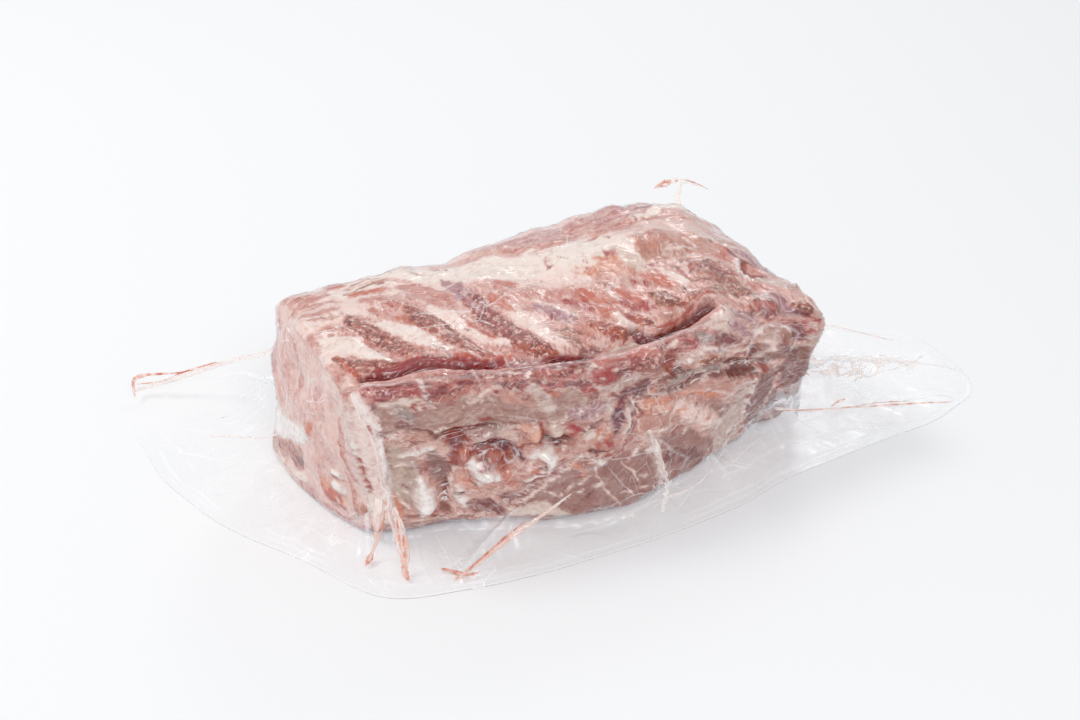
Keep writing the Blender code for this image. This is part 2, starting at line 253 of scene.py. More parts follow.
# The tissues in the order they are laid on, each a run of (x, distance round the block, half width).
# Over the top the distance goes from 0 at the front to 112 at the back.
topTissues = [
    ("softFat", (-112, 66, 12), (-70, 88, 16), (-20, 82, 14), (22, 70, 13), (52, 62, 14)),
    ("ribFat", (-104, 44, 10), (-112, 30, 6)),
    ("fat", (-88, 84, 4), (-60, 92, 7), (-30, 84, 11), (0, 76, 11), (24, 68, 9), (44, 66, 7)),
    ("lean", (-114, 94, 2.4), (-105, 90, 2.6), (-96, 88, 1.5)),
    ("lean", (-114, 83, 2.0), (-106, 80, 2.6), (-97, 79, 1.4)),
    ("lean", (-113, 74, 1.6), (-105, 71, 2.4), (-97, 71, 1.4)),
    ("tan", (-111, 66, 1.4), (-103, 63, 2.0), (-98, 63, 1.0)),
    ("lean", (-108, 53, 1.4), (-103, 49, 2.0), (-99, 44, 1.2)),
    ("paleLean", (-86, 89, 1.4), (-76, 90, 2), (-64, 87, 1.4), (-56, 81, 1)),
    ("brown", (-89, 84.5, 0.7), (-80, 86, 1.1), (-70, 85, 0.7)),
    ("brown", (-86, 92, 0.5), (-77, 94.5, 0.9), (-67, 92, 0.5)),
    ("salmon", (-92, 98, 2.8), (-87, 97, 2)),
    ("salmon", (-86, 81, 2.6), (-78, 79, 2), (-70, 77, 1.4)),
    ("lean", (-84, 72, 3), (-76, 70, 3.4), (-68, 62, 2.4)),
    ("lean", (-82, 64, 2.6), (-79, 58, 2)),
    ("softFat", (-92, 74, 4), (-87, 62, 3)),
    ("salmon", (-74, 54, 1.8), (-70, 46, 1.6), (-68, 38, 0.8)),
    ("lean", (-62, 78, 4), (-52, 72, 4), (-46, 64, 2.4)),
    ("redSpeck", (-72, 67, 0.6), (-68, 66, 0.9)),
    ("mauveLean", (-12, 98, 4), (12, 93, 7), (40, 93, 9), (66, 95, 11)),
    ("milkSkin", (-60, 108, 5), (-34, 104, 6), (-12, 103, 6), (12, 103, 5), (40, 105, 5), (66, 108, 5)),
    ("paleLean", (-40, 96, 2), (-24, 94, 3), (-10, 90, 3), (2, 84, 2)),
    ("lean", (-4, 90, 3), (12, 84, 4), (28, 82, 3)),
    ("lean", (32, 90, 5), (46, 86, 6), (60, 82, 6), (74, 86, 4)),
    ("mauveLean", (52, 92, 5), (74, 92, 5)),
    ("fat", (66, 86, 2), (76, 88, 2.4), (84, 97, 3), (92, 97, 3.4), (99, 93, 2)),
    ("wine", (72, 96, 1.4), (80, 98.5, 1.6)),
    ("paleLean", (74, 72, 6), (84, 72, 7), (98, 84, 8), (106, 84, 8)),
    ("tan", (90, 74, 3), (98, 71, 4), (106, 70, 5)),
    ("whiteLine", (84, 62, 0.7), (94, 61.6, 0.9), (105, 63, 0.7)),
    ("peach", (28, 52, 6), (44, 50, 6)),
    ("cream", (42, 62, 4), (46, 56, 4.4), (48, 48, 4)),
    ("salmon", (56, 62, 3), (66, 60, 6), (76, 57, 6.4), (84, 54, 4)),
    ("tan", (58, 66, 2.6), (70, 67, 3), (82, 64, 3)),
    ("salmon", (86, 58, 4.6), (93, 53, 6), (99, 46, 5)),
    ("redLean", (95, 51, 2.6), (99, 44, 3)),
    ("fat", (-108, 42, 6), (-99, 33, 5), (-91, 20, 3.2)),
    ("lean", (-107, 46, 1.4), (-103, 44, 1.4)),
    ("fat", (-84, 52, 3), (-77, 41, 5), (-71, 31, 4.8), (-64, 22, 2.6)),
    ("ribFat", (-57, 56, 3), (-52, 44, 5), (-48, 33, 4.4), (-43, 24, 3), (-36, 15, 1.6)),
    ("ribFat", (-26, 48, 3.6), (-21, 36, 5), (-19.5, 28, 4.8), (-17, 18, 4.6), (-15, 11, 3)),
    ("fat", (-40, 78, 4), (-20, 74, 6), (10, 72, 6), (38, 74, 4)),
    ("softFat", (-12, 62, 5), (4, 58, 7), (18, 52, 6)),
    ("salmon", (-28, 55, 2), (-25, 46, 2.6), (-23.5, 41, 1)),
    ("salmon", (-19, 65, 3), (-14, 60, 2.4)),
    ("lean", (-8, 54, 4), (0, 48, 4), (8, 44, 3)),
    ("mauveFilm", (-12, 40, 2.4), (-6, 34, 4.4), (-1, 27, 3)),
    ("whiteLine", (-14, 50, 0.7), (-8, 42, 1), (-2, 34, 0.9), (3, 24, 0.7)),
    ("redLean", (3, 38, 2), (7, 34, 3.4), (10, 29, 2)),
    ("salmon", (10, 40, 3.4), (16, 36, 5), (21, 31, 4)),
    ("salmon", (14, 26, 3.2), (20, 23, 3)),
    ("paleLean", (22, 44, 4), (30, 40, 4), (36, 34, 3)),
    ("redLean", (28, 28, 3.4), (33, 24, 4), (37, 21, 2)),
    ("salmon", (30, 36, 3), (34, 30, 4)),
    ("redSpeck", (41, 41, 0.7), (44, 37.5, 1.6), (47, 34.5, 0.8)),
    ("salmon", (48, 42, 2.6), (52, 36, 4), (56, 30, 2.4)),
    ("redSpeck", (51, 47, 1), (54, 46.6, 0.8)),
    ("redLean", (36, 61, 1), (40, 60, 1.8), (43, 58, 1)),
    ("orangeJuice", (34, 75, 0.8), (40, 78, 1.2), (46, 79, 0.6)),
    ("redSpeck", (38, 76.6, 1.2), (41, 77.4, 0.7)),
    ("orangeJuice", (18, 56, 0.8), (24, 53, 1.1), (29, 51, 0.7)),
    ("orangeJuice", (30, 60, 0.8), (39, 57, 1.1)),
    ("redSpeck", (60, 50.5, 0.7), (66, 49.5, 1.1), (73, 50.5, 0.7)),
    ("softFat", (56, 42, 2), (60, 34, 3.4), (61, 25, 2.4)),
    ("fat", (59, 37, 0.8), (61, 31, 1.3)),
    ("paleLean", (66, 46, 4), (78, 46, 4.4), (88, 42, 3)),
    ("slate", (68, 44.5, 0.5), (76, 42.5, 0.7), (84, 43.5, 0.5)),
    ("whiteLine", (66, 46.5, 0.5), (75, 45, 0.6), (86, 46.5, 0.5)),
    ("hazyMauve", (64, 76, 5), (80, 77, 6), (96, 72, 5)),
    ("softRed", (58, 57, 6), (70, 62, 9), (84, 60, 9), (95, 57, 5)),
    ("tan", (54, 52, 3), (62, 53, 4), (72, 54, 4)),
    ("fat", (84, 64, 0.3), (92, 66.4, 0.7), (102, 63, 0.4)),
    ("whiteLine", (62, 52, 0.2), (74, 54, 0.6), (86, 56, 0.2)),
    ("whiteLine", (76, 72, 0.2), (82, 64, 0.5), (84, 56, 0.2)),
    ("salmon", (99, 57, 2.6), (98, 50, 3.8), (95, 45, 2.6)),
    ("pinkBone", (65, 40, 2.6), (73, 42, 4.6), (81, 39, 5.4), (89, 35, 3.4)),
    ("greyBone", (69, 46, 1.2), (78, 45, 1.8), (87, 42, 1.4)),
    ("greyBone", (72, 34, 1.4), (80, 31, 2.4), (88, 28, 2)),
    ("purpleBone", (74, 38, 1.6), (82, 35, 2.4), (88, 33, 1.2)),
    ("crimson", (78, 34, 0.9), (81, 32.6, 1.6)),
    # brown lines round the purple bone: painted shade round its edge
    ("brown", (62, 42, 0.6), (72, 41.6, 0.9), (82, 38.4, 0.9), (90, 33, 0.6)),
    ("brown", (64, 33, 0.5), (74, 29, 0.8), (84, 26.6, 0.8), (90, 25, 0.5)),
    ("wine", (66, 37, 0.8), (74, 36, 1.2), (84, 31, 1)),
    ("darkBrown", (59, 26, 0.8), (63, 23.5, 1.4), (67, 21.6, 0.9)),
    ("sponge", (65, 20, 2), (70, 20, 2.4)),
    ("greyBone", (74, 21, 3), (82, 22, 4.6), (90, 22, 3)),
    ("ribFat", (20, 20, 3), (24, 14, 3), (18, 15, 3)),
    ("sponge", (24, 20, 2), (28, 16, 3.4), (33, 13, 2.4)),
    ("brownBone", (43, 28, 2.4), (46, 23, 4.6), (50, 18, 4)),
    ("tan", (36, 14, 1.6), (44, 13.6, 1.8), (54, 16, 2.4)),
    ("sponge", (52, 16, 1.6), (61, 19.6, 2)),
    ("ribBone", (-111, 27, 2.6), (-106, 21, 6.2), (-99, 17, 4.6), (-89, 15.4, 2.6), (-79, 15, 1.6)),
    ("ribRim", (-110.5, 28, 1.3), (-109.5, 20, 1.7), (-107, 12, 1.7), (-103, 6.6, 1.3)),
    ("ribBone", (-95.5, 58, 3), (-93, 50, 5), (-89, 43, 5.4), (-85.5, 35, 5), (-81, 27, 4.4), (-78, 20, 3)),
    ("ribBone", (-67.5, 58, 3), (-65, 49, 5.8), (-62, 41, 6.2), (-59, 33, 5.4), (-56, 26, 4.4),
     (-51, 19, 3), (-45, 14, 1.5)),
    ("mauveFilm", (-42, 80, 1.6), (-39.5, 70, 3.6), (-38, 60, 4.8)),
    ("darkRib", (-36.5, 57, 4.4), (-35.5, 45, 5.4), (-34, 36, 6), (-32, 28, 6.4), (-29, 20, 6.2),
     (-25, 12, 4.6), (-22, 8, 2.6)),
    ("mauveFilm", (-40, 66, 1.6), (-38, 56, 1.8), (-37, 48, 1)),
    ("ribRim", (-45, 41, 2), (-43.5, 35, 2), (-40, 26, 1)),
    ("sponge", (-35, 16, 2), (-28, 10.4, 3), (-20, 7, 2)),
    ("ribRim", (-63, 14.6, 2), (-58, 15, 2.6), (-54, 13.6, 1.4)),
    ("ribRim", (-52, 12, 1.4), (-47, 11.4, 1.8), (-40, 9.6, 1.2)),
    ("ribRim", (-82, 19, 1), (-76, 15.6, 1.6), (-70, 14.4, 1)),
    ("greySkin", (-76, 16, 1), (-69, 15.4, 2), (-63, 15, 1)),
    ("tan", (-13, 21, 3), (-9, 16, 4), (-6, 11, 2.4)),
    ("brown", (-14, 24, 0.7), (-7, 21.4, 0.9), (0, 16, 0.7), (4, 12, 0.5)),
    ("brown", (-13, 16, 0.5), (-8, 14, 0.8), (-4, 12, 0.5)),
    ("maroon", (-7, 5, 1.6), (-3, 6.4, 2.4), (1, 4.4, 1.4)),
    ("brown", (-9, 3, 0.5), (-5, 9, 0.6), (0, 8, 0.6), (2, 4, 0.5)),
    ("sponge", (6, 20, 2.4), (11, 15, 4.4), (16, 10, 3.6)),
    ("cream", (8, 4, 1.4), (14, 2.6, 1.8), (20, 2, 1.2)),
    ("softFat", (60, 0, 3.4), (67, 3, 5), (75, 6, 4)),
    ("cream", (64, -4, 2.4), (70, -2, 3)),
    ("fat", (66, 6, 1.4), (72, 8, 2), (77, 7, 1.2)),
    ("pinkBone", (34, 5.5, 1), (44, 6.5, 1.6), (54, 9, 1.6)),
    ("mauveFilm", (76, 6, 3), (81, 1, 4.6), (84, -4, 3)),
    ("whiteLine", (77, 8, 0.6), (81, 2, 0.7), (84, -4, 0.5)),
    ("purpleBone", (90, 11, 3.4), (93, 6, 6.4), (92, 0, 3.4)),
    ("redLean", (91, 8, 1.6), (94, 5, 2.2)),
    ("whiteLine", (86, 10, 0.5), (90, 14, 0.9), (97, 14, 0.8), (100, 8, 0.5)),
    ("brown", (85, 2, 0.6), (86, 10, 0.8), (92, 14.6, 0.8), (99, 12, 0.7), (101, 4, 0.6)),
    ("wine", (84, 17, 1), (92, 18.6, 1.4), (100, 17, 1), (106, 12, 0.8)),
    ("gloss", (96, 17.5, 0.9), (99, 16, 0.7)),
    ("wine", (100, 56, 0.8), (101, 48, 1.2), (108, 46, 1)),
    ("gloss", (99, 48, 0.6), (97, 42, 1.7), (96, 36, 1.5), (98, 29, 0.9)),
    ("rust", (100, 45, 1.2), (103, 41, 2.6), (107, 35, 1.8)),
    ("darkBlood", (102, 43, 0.6), (105, 39, 1.1), (108, 35, 0.8)),
    ("gloss", (109, 33, 0.8), (113, 31, 1.6), (117, 26, 0.8)),
    ("mauveFilm", (106, 58, 3), (112, 50, 5), (114, 42, 3)),
    ("greySkin", (104, 32, 3), (110, 29, 5), (114, 24, 3)),
    ("mauveFilm", (100, 14, 2), (104, 8, 4), (107, 3, 2.4)),
    ("brownBone", (110, 9, 3), (114, 5, 3.6)),
    ("crimson", (110, 1.6, 1.4), (114, -1, 2), (117, -4, 1.4)),
    ("darkBlood", (108, 4, 1), (112, 1, 1.3)),
]
slotTissues = [  # the slot between the ribs and the backbone, then the channel right of the middle
    ("slotWall", (-104, 8.6, 2), (-96, 11.4, 3.4), (-84, 13, 4), (-70, 12.4, 3.6), (-56, 10.8, 3),
     (-44, 8.4, 2.4)),
    ("deepSlot", (-105, 8.4, 1.6), (-90, 9.6, 2.4), (-75, 9.8, 2.4), (-60, 8.6, 2.2), (-46, 6.6, 1.8)),
    ("slotWall", (-46, 6.4, 1.6), (-40, 5.6, 1.2)),
    ("filmedSlot", (-41, 5.6, 2), (-34, 4.6, 2.8), (-26, 3.6, 2)),
    ("slotWall", (-25, 4.6, 2.2), (-16, 3.6, 2.8), (-9, 2.2, 2.2), (-3, 0.2, 1.4)),
    ("deepSlot", (-22, 3.4, 1.2), (-14, 2.4, 1.7), (-6, 1, 1)),
    ("whiteLine", (-38, 6.6, 0.4), (-34, 5, 0.7), (-29, 4.4, 0.4)),
    ("slotLip", (-102, 4.4, 1), (-90, 5.4, 1.2), (-72, 5.6, 1.3), (-56, 4.4, 1.2), (-42, 2.4, 1)),
    ("brownSlot", (23, 9.6, 3), (25.5, 4, 3.6), (31, 2.6, 2.2), (40, 3.4, 2), (50, 5.8, 2.2),
     (58, 8.6, 2.2), (66, 12, 2.6)),
    ("blood", (22, 8, 2), (25, 6, 2.6), (28, 2, 1.6)),
    ("slotLip", (22, -2.6, 1), (30, -1.4, 1.1), (40, 0, 1.2), (50, 1.4, 1.1), (60, 5, 1), (68, 8, 0.8)),
    ("rust", (34, 8, 1), (44, 8.8, 1.2), (54, 12, 1.3), (62, 16, 1)),
]
frontTissues = [  # down the front, from 0 to -90
    ("bandHaze", (-115, -12, 7), (-112, -50, 8), (-108, -80, 6)),
    ("bandTan", (-102, -18, 9), (-70, -18, 9), (-40, -17, 9), (-12, -24, 7)),
    ("bandOlive", (-98, -44, 11), (-94, -62, 9)),
    ("bandTan", (-74, -28, 5), (-48, -27, 5), (-30, -24, 5)),
    ("bandPeach", (-78, -62, 9), (-46, -56, 9), (-34, -42, 9), (-8, -42, 8), (6, -46, 8), (30, -38, 8),
     (62, -42, 8)),
    ("muscle", (-36, -70, 6), (-16, -67, 11), (4, -68, 13), (20, -66, 10)),
    ("muscle", (28, -62, 9), (42, -68, 11), (54, -76, 8)),
    ("greySkin", (60, -56, 7), (70, -68, 9), (68, -78, 7)),
    ("greySkin", (82, -46, 5), (80, -60, 5), (76, -76, 5)),
    ("darkMuscle", (95, -44, 6), (95, -58, 7), (91, -74, 6)),
    ("darkMuscle", (107, -44, 6), (112, -56, 6), (106, -74, 6)),
    ("muscle", (-30, -82, 7), (4, -84, 9), (30, -84, 9), (52, -86, 7)),
    ("footShade", (-104, -88, 6), (-60, -90, 5)),
    ("darkMuscle", (64, -90, 4), (90, -88, 5), (114, -84, 5)),
    ("whiteLine", (-8, -58, 0.5), (-4, -70, 0.4), (4, -82, 0.1)),
    ("whiteLine", (6, -60, 0.2), (12, -66, 0.5), (14, -74, 0.2)),
    ("whiteLine", (-26, -72, 0.4), (-20, -66, 0.5), (-6, -60, 0.3)),
    # the milky ribbon of film down the left corner
    ("ribbon", (-110, -3, 2.8), (-108, -16, 4.2), (-106, -30, 5), (-106, -46, 5.2), (-105, -60, 5),
     (-101, -76, 4.2)),
    ("ribbonEdge", (-106, -2, 0.6), (-102.6, -14, 0.9), (-101, -30, 1.1), (-101, -46, 1),
     (-100, -60, 0.9), (-96, -78, 0.7)),
    # a thin brown line along the ribbon's right edge: painted shadow of the ribbon
    ("brown", (-99.4, -20, 0.2), (-98.6, -34, 0.5), (-98.8, -48, 0.5), (-98, -60, 0.3)),
    ("ribbonEdge", (-115, -8, 0.4), (-113, -26, 0.7), (-111, -44, 0.8), (-109, -60, 0.8), (-105, -76, 0.6)),
    ("wine", (-104, -9, 1), (-103, -14, 0.8)),
    ("redSpeck", (-106, -20, 0.5), (-106, -24, 0.6)),
    ("rust", (-110, -40, 0.4), (-109, -52, 0.8), (-107, -62, 0.6)),
    ("redSpeck", (-103, -52, 0.4), (-102, -58, 0.6)),
    ("orangeJuice", (-101, -66, 0.8), (-97, -74, 1.8), (-96, -82, 1.6)),
    # the sawn ends of the backbone along the top edge
    ("spinePink", (-104, -4, 4), (-80, -4, 5), (-50, -5, 5), (-20, -7, 6), (10, -9, 6), (40, -8, 5),
     (58, -6, 4)),
    ("pinkBone", (-78, -8, 3), (-66, -8, 2), (-56, -7, 2)),
    ("wine", (-50, -6, 3), (-38, -6, 3), (-24, -8, 2)),
    ("redLean", (-8, -16, 3), (4, -16, 4), (16, -14, 3)),
    ("rosyBone", (-104, -2.4, 3.6), (-96, -4, 4.6), (-87, -3, 4.4)),
    ("blood", (-99, 0.4, 0.9), (-92, -0.4, 1.5), (-86, -1.6, 1.4)),
    ("blood", (-103, -6, 0.6), (-98, -7.4, 0.9)),
    ("cream", (-101, -10, 1.3), (-94, -10.6, 2.2), (-86, -10, 1.8)),
    ("redLean", (-86, -13, 1.5), (-83, -12, 1.6)),
    ("gloss", (-83, 2, 0.8), (-82, -4, 1.2), (-80.6, -8, 0.7)),
    ("blood", (-79, -7, 1.7), (-75, -6, 2), (-70.6, -3, 1.3)),
    ("pinkBone", (-78, 0.6, 3), (-68, 0, 3.6), (-60, 0, 3.4)),
    ("blood", (-67, -3.6, 0.9), (-62, -4.6, 1.5), (-58.6, -7.4, 1.5)),
    ("gloss", (-58, 2, 0.8), (-57, -4, 1)),
    ("pinkBone", (-54, -0.6, 3.4), (-44, -2.4, 4), (-35, -2, 3.6)),
    ("blood", (-44, -1.4, 0.8), (-36, -1.2, 1.4), (-30, -2.4, 0.8)),
    ("pinkBone", (-34, -5, 1.6), (-26, -6.4, 2), (-18, -7, 1.6)),
    ("blood", (-26, -1.6, 1.6), (-18, -2.4, 2.2), (-8, -3, 2)),
    ("purpleBone", (-22, -5, 1.4), (-12, -5.4, 1.6)),
    ("salmon", (-29, -14, 2.2), (-25, -15, 1.6)),
    ("wine", (-18, -11, 1.6), (-12, -12, 2.4), (-8, -13, 1.6)),
    ("blood", (-16, -11.6, 0.8), (-12, -12, 1.2), (-9, -11.6, 0.7)),
    ("cream", (-6, -5, 2), (-3, -8, 1.4)),
    ("crimson", (-2, -10, 2.4), (3, -11, 3.2), (8, -11.6, 2.2)),
    ("purpleBone", (10, -8, 3), (16, -9, 3.6)),
    ("darkBlood", (6, -12, 0.8), (11, -12.6, 1.4), (16, -12, 0.8)),
    ("salmon", (23, -5, 2), (28, -5, 2.4)),
    ("fat", (30, -3.4, 2), (35, -4.4, 2.2), (40, -5, 1.4)),
    ("pinkBone", (20, -10, 3), (28, -11, 4), (36, -10, 3)),
    ("crimson", (43, -4.6, 1), (47, -7, 1.6), (50, -9, 1)),
    ("slate", (51, -3, 1.6), (56, -7, 3), (60, -9, 1.6)),
    ("cream", (62, -1.6, 2), (65, -4, 2.2)),
    ("wine", (63, -9, 2.4), (69, -11, 3), (74, -14, 2.2)),
    ("blood", (65, -10, 0.9), (70, -11.6, 1.3)),
    ("mauveFilm", (71, -3, 2.4), (75, -6, 3), (79, -10, 2)),
    # smooth layers under the backbone
    ("slate", (-94, -13, 2), (-90, -15, 3), (-88, -18, 1.6)),
    ("wine", (-92, -20.6, 1.7), (-89, -21.6, 1)),
    ("brown", (-101, -26, 2), (-97, -27, 1.2)),
    ("tan", (-96, -29, 2.4), (-86, -29.6, 2.8), (-78, -28, 1.2)),
    ("darkBrown", (-90, -25, 0.8), (-86, -24, 1.2), (-82, -26, 1.1), (-77, -30, 1.1)),
    ("lean", (-60, -9, 3), (-52, -10, 3.6), (-46, -11, 3)),
    ("softRed", (-49, -10, 2), (-44, -13, 3.6), (-38, -14, 3), (-36.6, -18, 1)),
    ("whiteLine", (-67, -17, 0.2), (-60, -13, 0.9), (-54, -10, 0.5), (-47, -7, 0.2)),
    ("whiteLine", (-57, -13, 0.3), (-56, -22, -0.1)),
    ("whiteLine", (-55, -12, 0.3), (-47, -24, -0.1)),
    ("greySkin", (-35, -10, 2.4), (-30, -17, 3.8), (-27, -22, 2.4)),
    ("greySkin", (-60, -27, 1.5), (-50, -29.6, 1.7), (-40, -30, 1)),
    ("brown", (-63, -24, 0.5), (-54, -25.4, 0.8), (-48, -28, 0.7), (-38, -29, 0.6), (-30, -27, 0.4)),
    ("darkBrown", (-74, -31, 1.5), (-66, -29.6, 2.2), (-58, -29, 2.1), (-51, -31, 1.4), (-43, -33, 0.9)),
    ("rust", (-72, -35, 2.8), (-66, -35.4, 3)),
    ("greySkin", (-60, -37, 1.5), (-54, -34, 2.2), (-46, -33.6, 2.5), (-43, -36, 1.5)),
    ("plum", (-60, -41, 2.1), (-55, -39.4, 3.1), (-50, -40, 3.1), (-46, -43, 2.2)),
    ("pinkKnob", (-56, -43, 1.7), (-52, -45, 2.3), (-50, -48, 1.4)),
    # knuckles, fat lumps and hollows low on the left
    ("gloss", (-92, -40, 1.6), (-86, -38, 2), (-80, -34.6, 1.2)),
    ("greyMuscle", (-80, -40, 3), (-78, -48, 4.4), (-76, -56, 3.4)),
    ("gloss", (-86, -55, 1.6), (-84, -62, 5), (-83, -70, 4.6), (-80, -74, 2)),
    ("rust", (-69, -40, 3.2), (-69, -46, 3.6), (-64.6, -49.6, 3), (-61, -45, 3), (-64, -40, 2.2)),
    ("pinkKnob", (-66, -44.4, 2.8)),
    ("violet", (-71, -38, 1.5), (-67.6, -38, 1)),
    ("deepPeach", (-66, -53, 2.2), (-67, -56, 1.4)),
    ("peach", (-67, -58, 2.6), (-62, -62, 2)),
    ("gloss", (-69, -62, 1.6), (-67.4, -68, 3), (-66, -74, 1.4)),
    ("brown", (-72, -52, 0.6), (-74.6, -60, 1.1), (-74, -70, 0.8)),
    ("whiteLine", (-70.6, -50, 0.5), (-73, -60, 0.6), (-71, -77, 0.6)),
    ("orangeJuice", (-97, -63, 0.8), (-95, -70, 2.2), (-95, -77, 1.6)),
    ("whiteLine", (-94, -67, 0.4), (-91, -73, 0.5)),
    ("rust", (-84, -76, 1), (-80, -76, 1.7), (-79, -80, 1)),
    ("orangeJuice", (-83, -74, 0.7), (-79.6, -77.6, 0.8)),
    ("brown", (-76, -74, 2), (-74, -77, 1.7)),
    ("gloss", (-63, -47, 2.4), (-60, -52, 4), (-54, -56, 4), (-58, -60, 2.8)),
    ("mauveFilm", (-57, -49.4, 1), (-50, -50.6, 1.4)),
    ("deepPeach", (-61, -62.6, 2), (-57, -61.6, 1.1)),
    ("salmon", (-49, -53, 2.8), (-47, -62, 3)),
    ("maroon", (-63, -74, 2.4), (-57, -74, 4.2), (-52, -78, 2.8)),
    ("maroon", (-48, -70, 2.8), (-41, -69, 2.6), (-37, -66, 1.4)),
    # the orange knuckle and its neighbours
    ("orangeFat", (-39, -31, 2.6), (-35, -33, 3.6), (-33, -38, 3)),
    ("whiteLine", (-38, -32, 0.5), (-33.6, -30.4, 0.8)),
    ("rust", (-32, -28.6, 0.8), (-31, -35, 1.3), (-32, -41, 1.6)),
    ("rust", (-36, -40, 1.5), (-42, -42, 1.8), (-46, -47, 2.1), (-50, -52, 1.6)),
    ("plum", (-42, -46, 1.7), (-40, -48.4, 1.1)),
    ("gloss", (-37, -47, 1), (-34, -46, 2), (-29, -44.6, 2.8), (-28, -52, 3), (-32, -58, 2.8),
     (-38, -60, 1.8)),
    ("salmon", (-36, -53, 1.6), (-34, -56, 1)),
    ("darkBlood", (-31.5, -50, 0.8), (-31, -55, 0.6)),
    ("darkBrown", (-29, -39, 1.8), (-23, -41.6, 2.6), (-19.6, -41.6, 1.7)),
    ("cream", (-25, -31.6, 2.6), (-24, -36, 2.5)),
    ("crimson", (-18.4, -33.4, 1.7), (-15.6, -35, 2), (-17, -37, 1.4)),
    ("cream", (-11, -39, 2.8), (-5, -40, 2.4)),
    # rust beside the fold line: painted shade along the fold, and the white line after it is its painted
    # highlight
    ("rust", (-36, -63, 0.8), (-28, -60, 1.2), (-22, -54, 1.1)),
    ("whiteLine", (-14, -49, 0.9), (-21, -56, 1), (-28, -61.6, 0.8), (-40, -71, 0.8), (-48, -77, 0.6)),
    ("cream", (-44, -80, 3.6), (-34, -78, 4.8), (-24, -82, 3)),
    ("deepPeach", (-17, -55, 2.4), (-13, -59, 1.8)),
    ("mauveFilm", (-16, -27, 3), (-9, -27, 4), (-3, -27, 3)),
    # dark purple glints on the film dome here: a painted reflection
    ("violet", (-7, -35, 1.6), (-3, -33, 1.2)),
    ("darkBrown", (-13, -37, 0.9), (-9, -35.6, 1.3)),
    ("greySkin", (1, -24, 2), (2, -31, 2)),
    ("plum", (9, -25, 1.8), (7, -30, 2.6), (4.6, -35, 2.6), (4, -41, 1.5)),
    ("gloss", (11.6, -32, 0.9), (9.6, -38, 1.7), (8.6, -42, 1.3)),
    ("wine", (3, -22, 0.7), (11, -26, 0.9), (14.4, -33, 0.9), (14, -42, 0.9), (9, -48.6, 0.7)),
    ("whiteLine", (5, -20.6, 0.5), (13, -26, 0.6), (16.4, -36, 0.6), (16.6, -45, 0.4)),
    ("pinkKnob", (-6.4, -46, 2.1)),
    ("crimson", (-2.4, -44.6, 1.7), (0, -46.6, 2.2)),
    ("darkBlood", (-9.6, -48, 1.2), (-5, -50.6, 1.2), (-1, -51, 1.2)),
    ("rust", (-6, -54, 0.8), (2, -54.6, 1), (10, -51.6, 1), (13.6, -48, 0.8)),
    ("gloss", (-15, -49.6, 0.7), (-11, -51, 0.8), (-4, -56.4, 0.5)),
    ("darkBlood", (10, -23, 2), (17, -25, 3.4), (22, -22, 2.4)),
    ("violet", (12, -22, 0.7), (16, -23.6, 0.9)),
    ("greySkin", (0, -18, 2.4), (10, -18.6, 2.8), (18, -19, 2)),
    ("darkBlood", (16.6, -32.6, 1.4), (18.6, -35.6, 1.2)),
    ("peach", (20, -33, 2.6), (29, -36.6, 4), (36, -36, 3)),
    ("orangeJuice", (21, -31, 0.6), (30, -31.6, 1.1), (40, -33, 1.1), (48, -36, 1.5), (58, -41, 1.5),
     (66, -45, 0.9)),
    ("brown", (32, -40, 1), (34, -41, 1)),
    ("softFat", (38, -40, 3), (46, -46, 5.4), (54, -54, 5), (62, -60, 3.6)),
    ("muscle", (62, -48.6, 2.4), (67, -54, 3.2), (66, -59, 2)),
    ("greySkin", (21, -49, 1.4), (24, -58, 2.4), (25, -68, 2.4), (27, -76, 2), (28, -84, 1.2)),
    ("muscle", (32, -54, 2.8), (40, -58, 3.2), (46, -60.6, 2)),
    ("darkMuscle", (34, -66, 3), (46, -72, 4), (52, -80, 3)),
    # the folded pocket and the spongy knuckle on the right
    ("rust", (33, -12, 1.4), (37, -16, 2.6), (41, -20, 2)),
    ("rust", (31, -14, 0.8), (36, -20, 1), (40, -22, 0.8)),
    ("tan", (42, -20, 1.6), (48, -15, 2.4), (56, -13, 2), (64, -16, 1.4)),
    ("brownBone", (52, -17.6, 1.8), (57, -18, 2.8), (63, -19, 1.6)),
    ("whiteLine", (40, -19, 0.6), (46, -13.6, 0.9), (55, -11, 0.8), (65, -15, 0.6), (76, -21, 0.5)),
    ("slate", (34, -27, 2.4), (46, -25, 4), (58, -26, 4.4), (66, -29, 3)),
    ("darkBrown", (30, -22, 1), (38, -22.6, 1.5), (46, -21.6, 1)),
    ("darkBrown", (34, -31, 0.8), (44, -31.6, 1.2), (54, -30.6, 1.4), (66, -33, 1)),
    ("plum", (50, -28, 0.9), (58, -29, 1.2)),
    ("darkBrown", (68, -27, 2.2), (77, -28.6, 3.4), (87, -31, 2.6)),
    ("darkBrown", (72, -35, 1.8), (80, -35.6, 2.8), (87, -38, 2.2)),
    # short white lines across the dark hollow: painted highlights of the crinkled film
    ("whiteLine", (67, -30, 0.2), (73, -31.4, 0.6), (79, -30, 0.2)),
    ("whiteLine", (74, -27, 0.1), (80, -26, 0.5), (86, -28.6, 0.1)),
    ("whiteLine", (78, -35, 0.1), (83, -33.4, 0.5), (87, -35, 0.1)),
    ("whiteLine", (86, -40, 0.4), (88.6, -43, 0.7), (87, -46, 0.2)),
    # more painted highlights of crinkled film
    ("whiteLine", (36, -29, 0.2), (42, -27.4, 0.6), (48, -29, 0.2)),
    ("whiteLine", (46, -24, 0.2), (53, -27, 0.7), (60, -26, 0.2)),
    ("whiteLine", (56, -33, 0.2), (62, -30, 0.6), (68, -32, 0.1)),
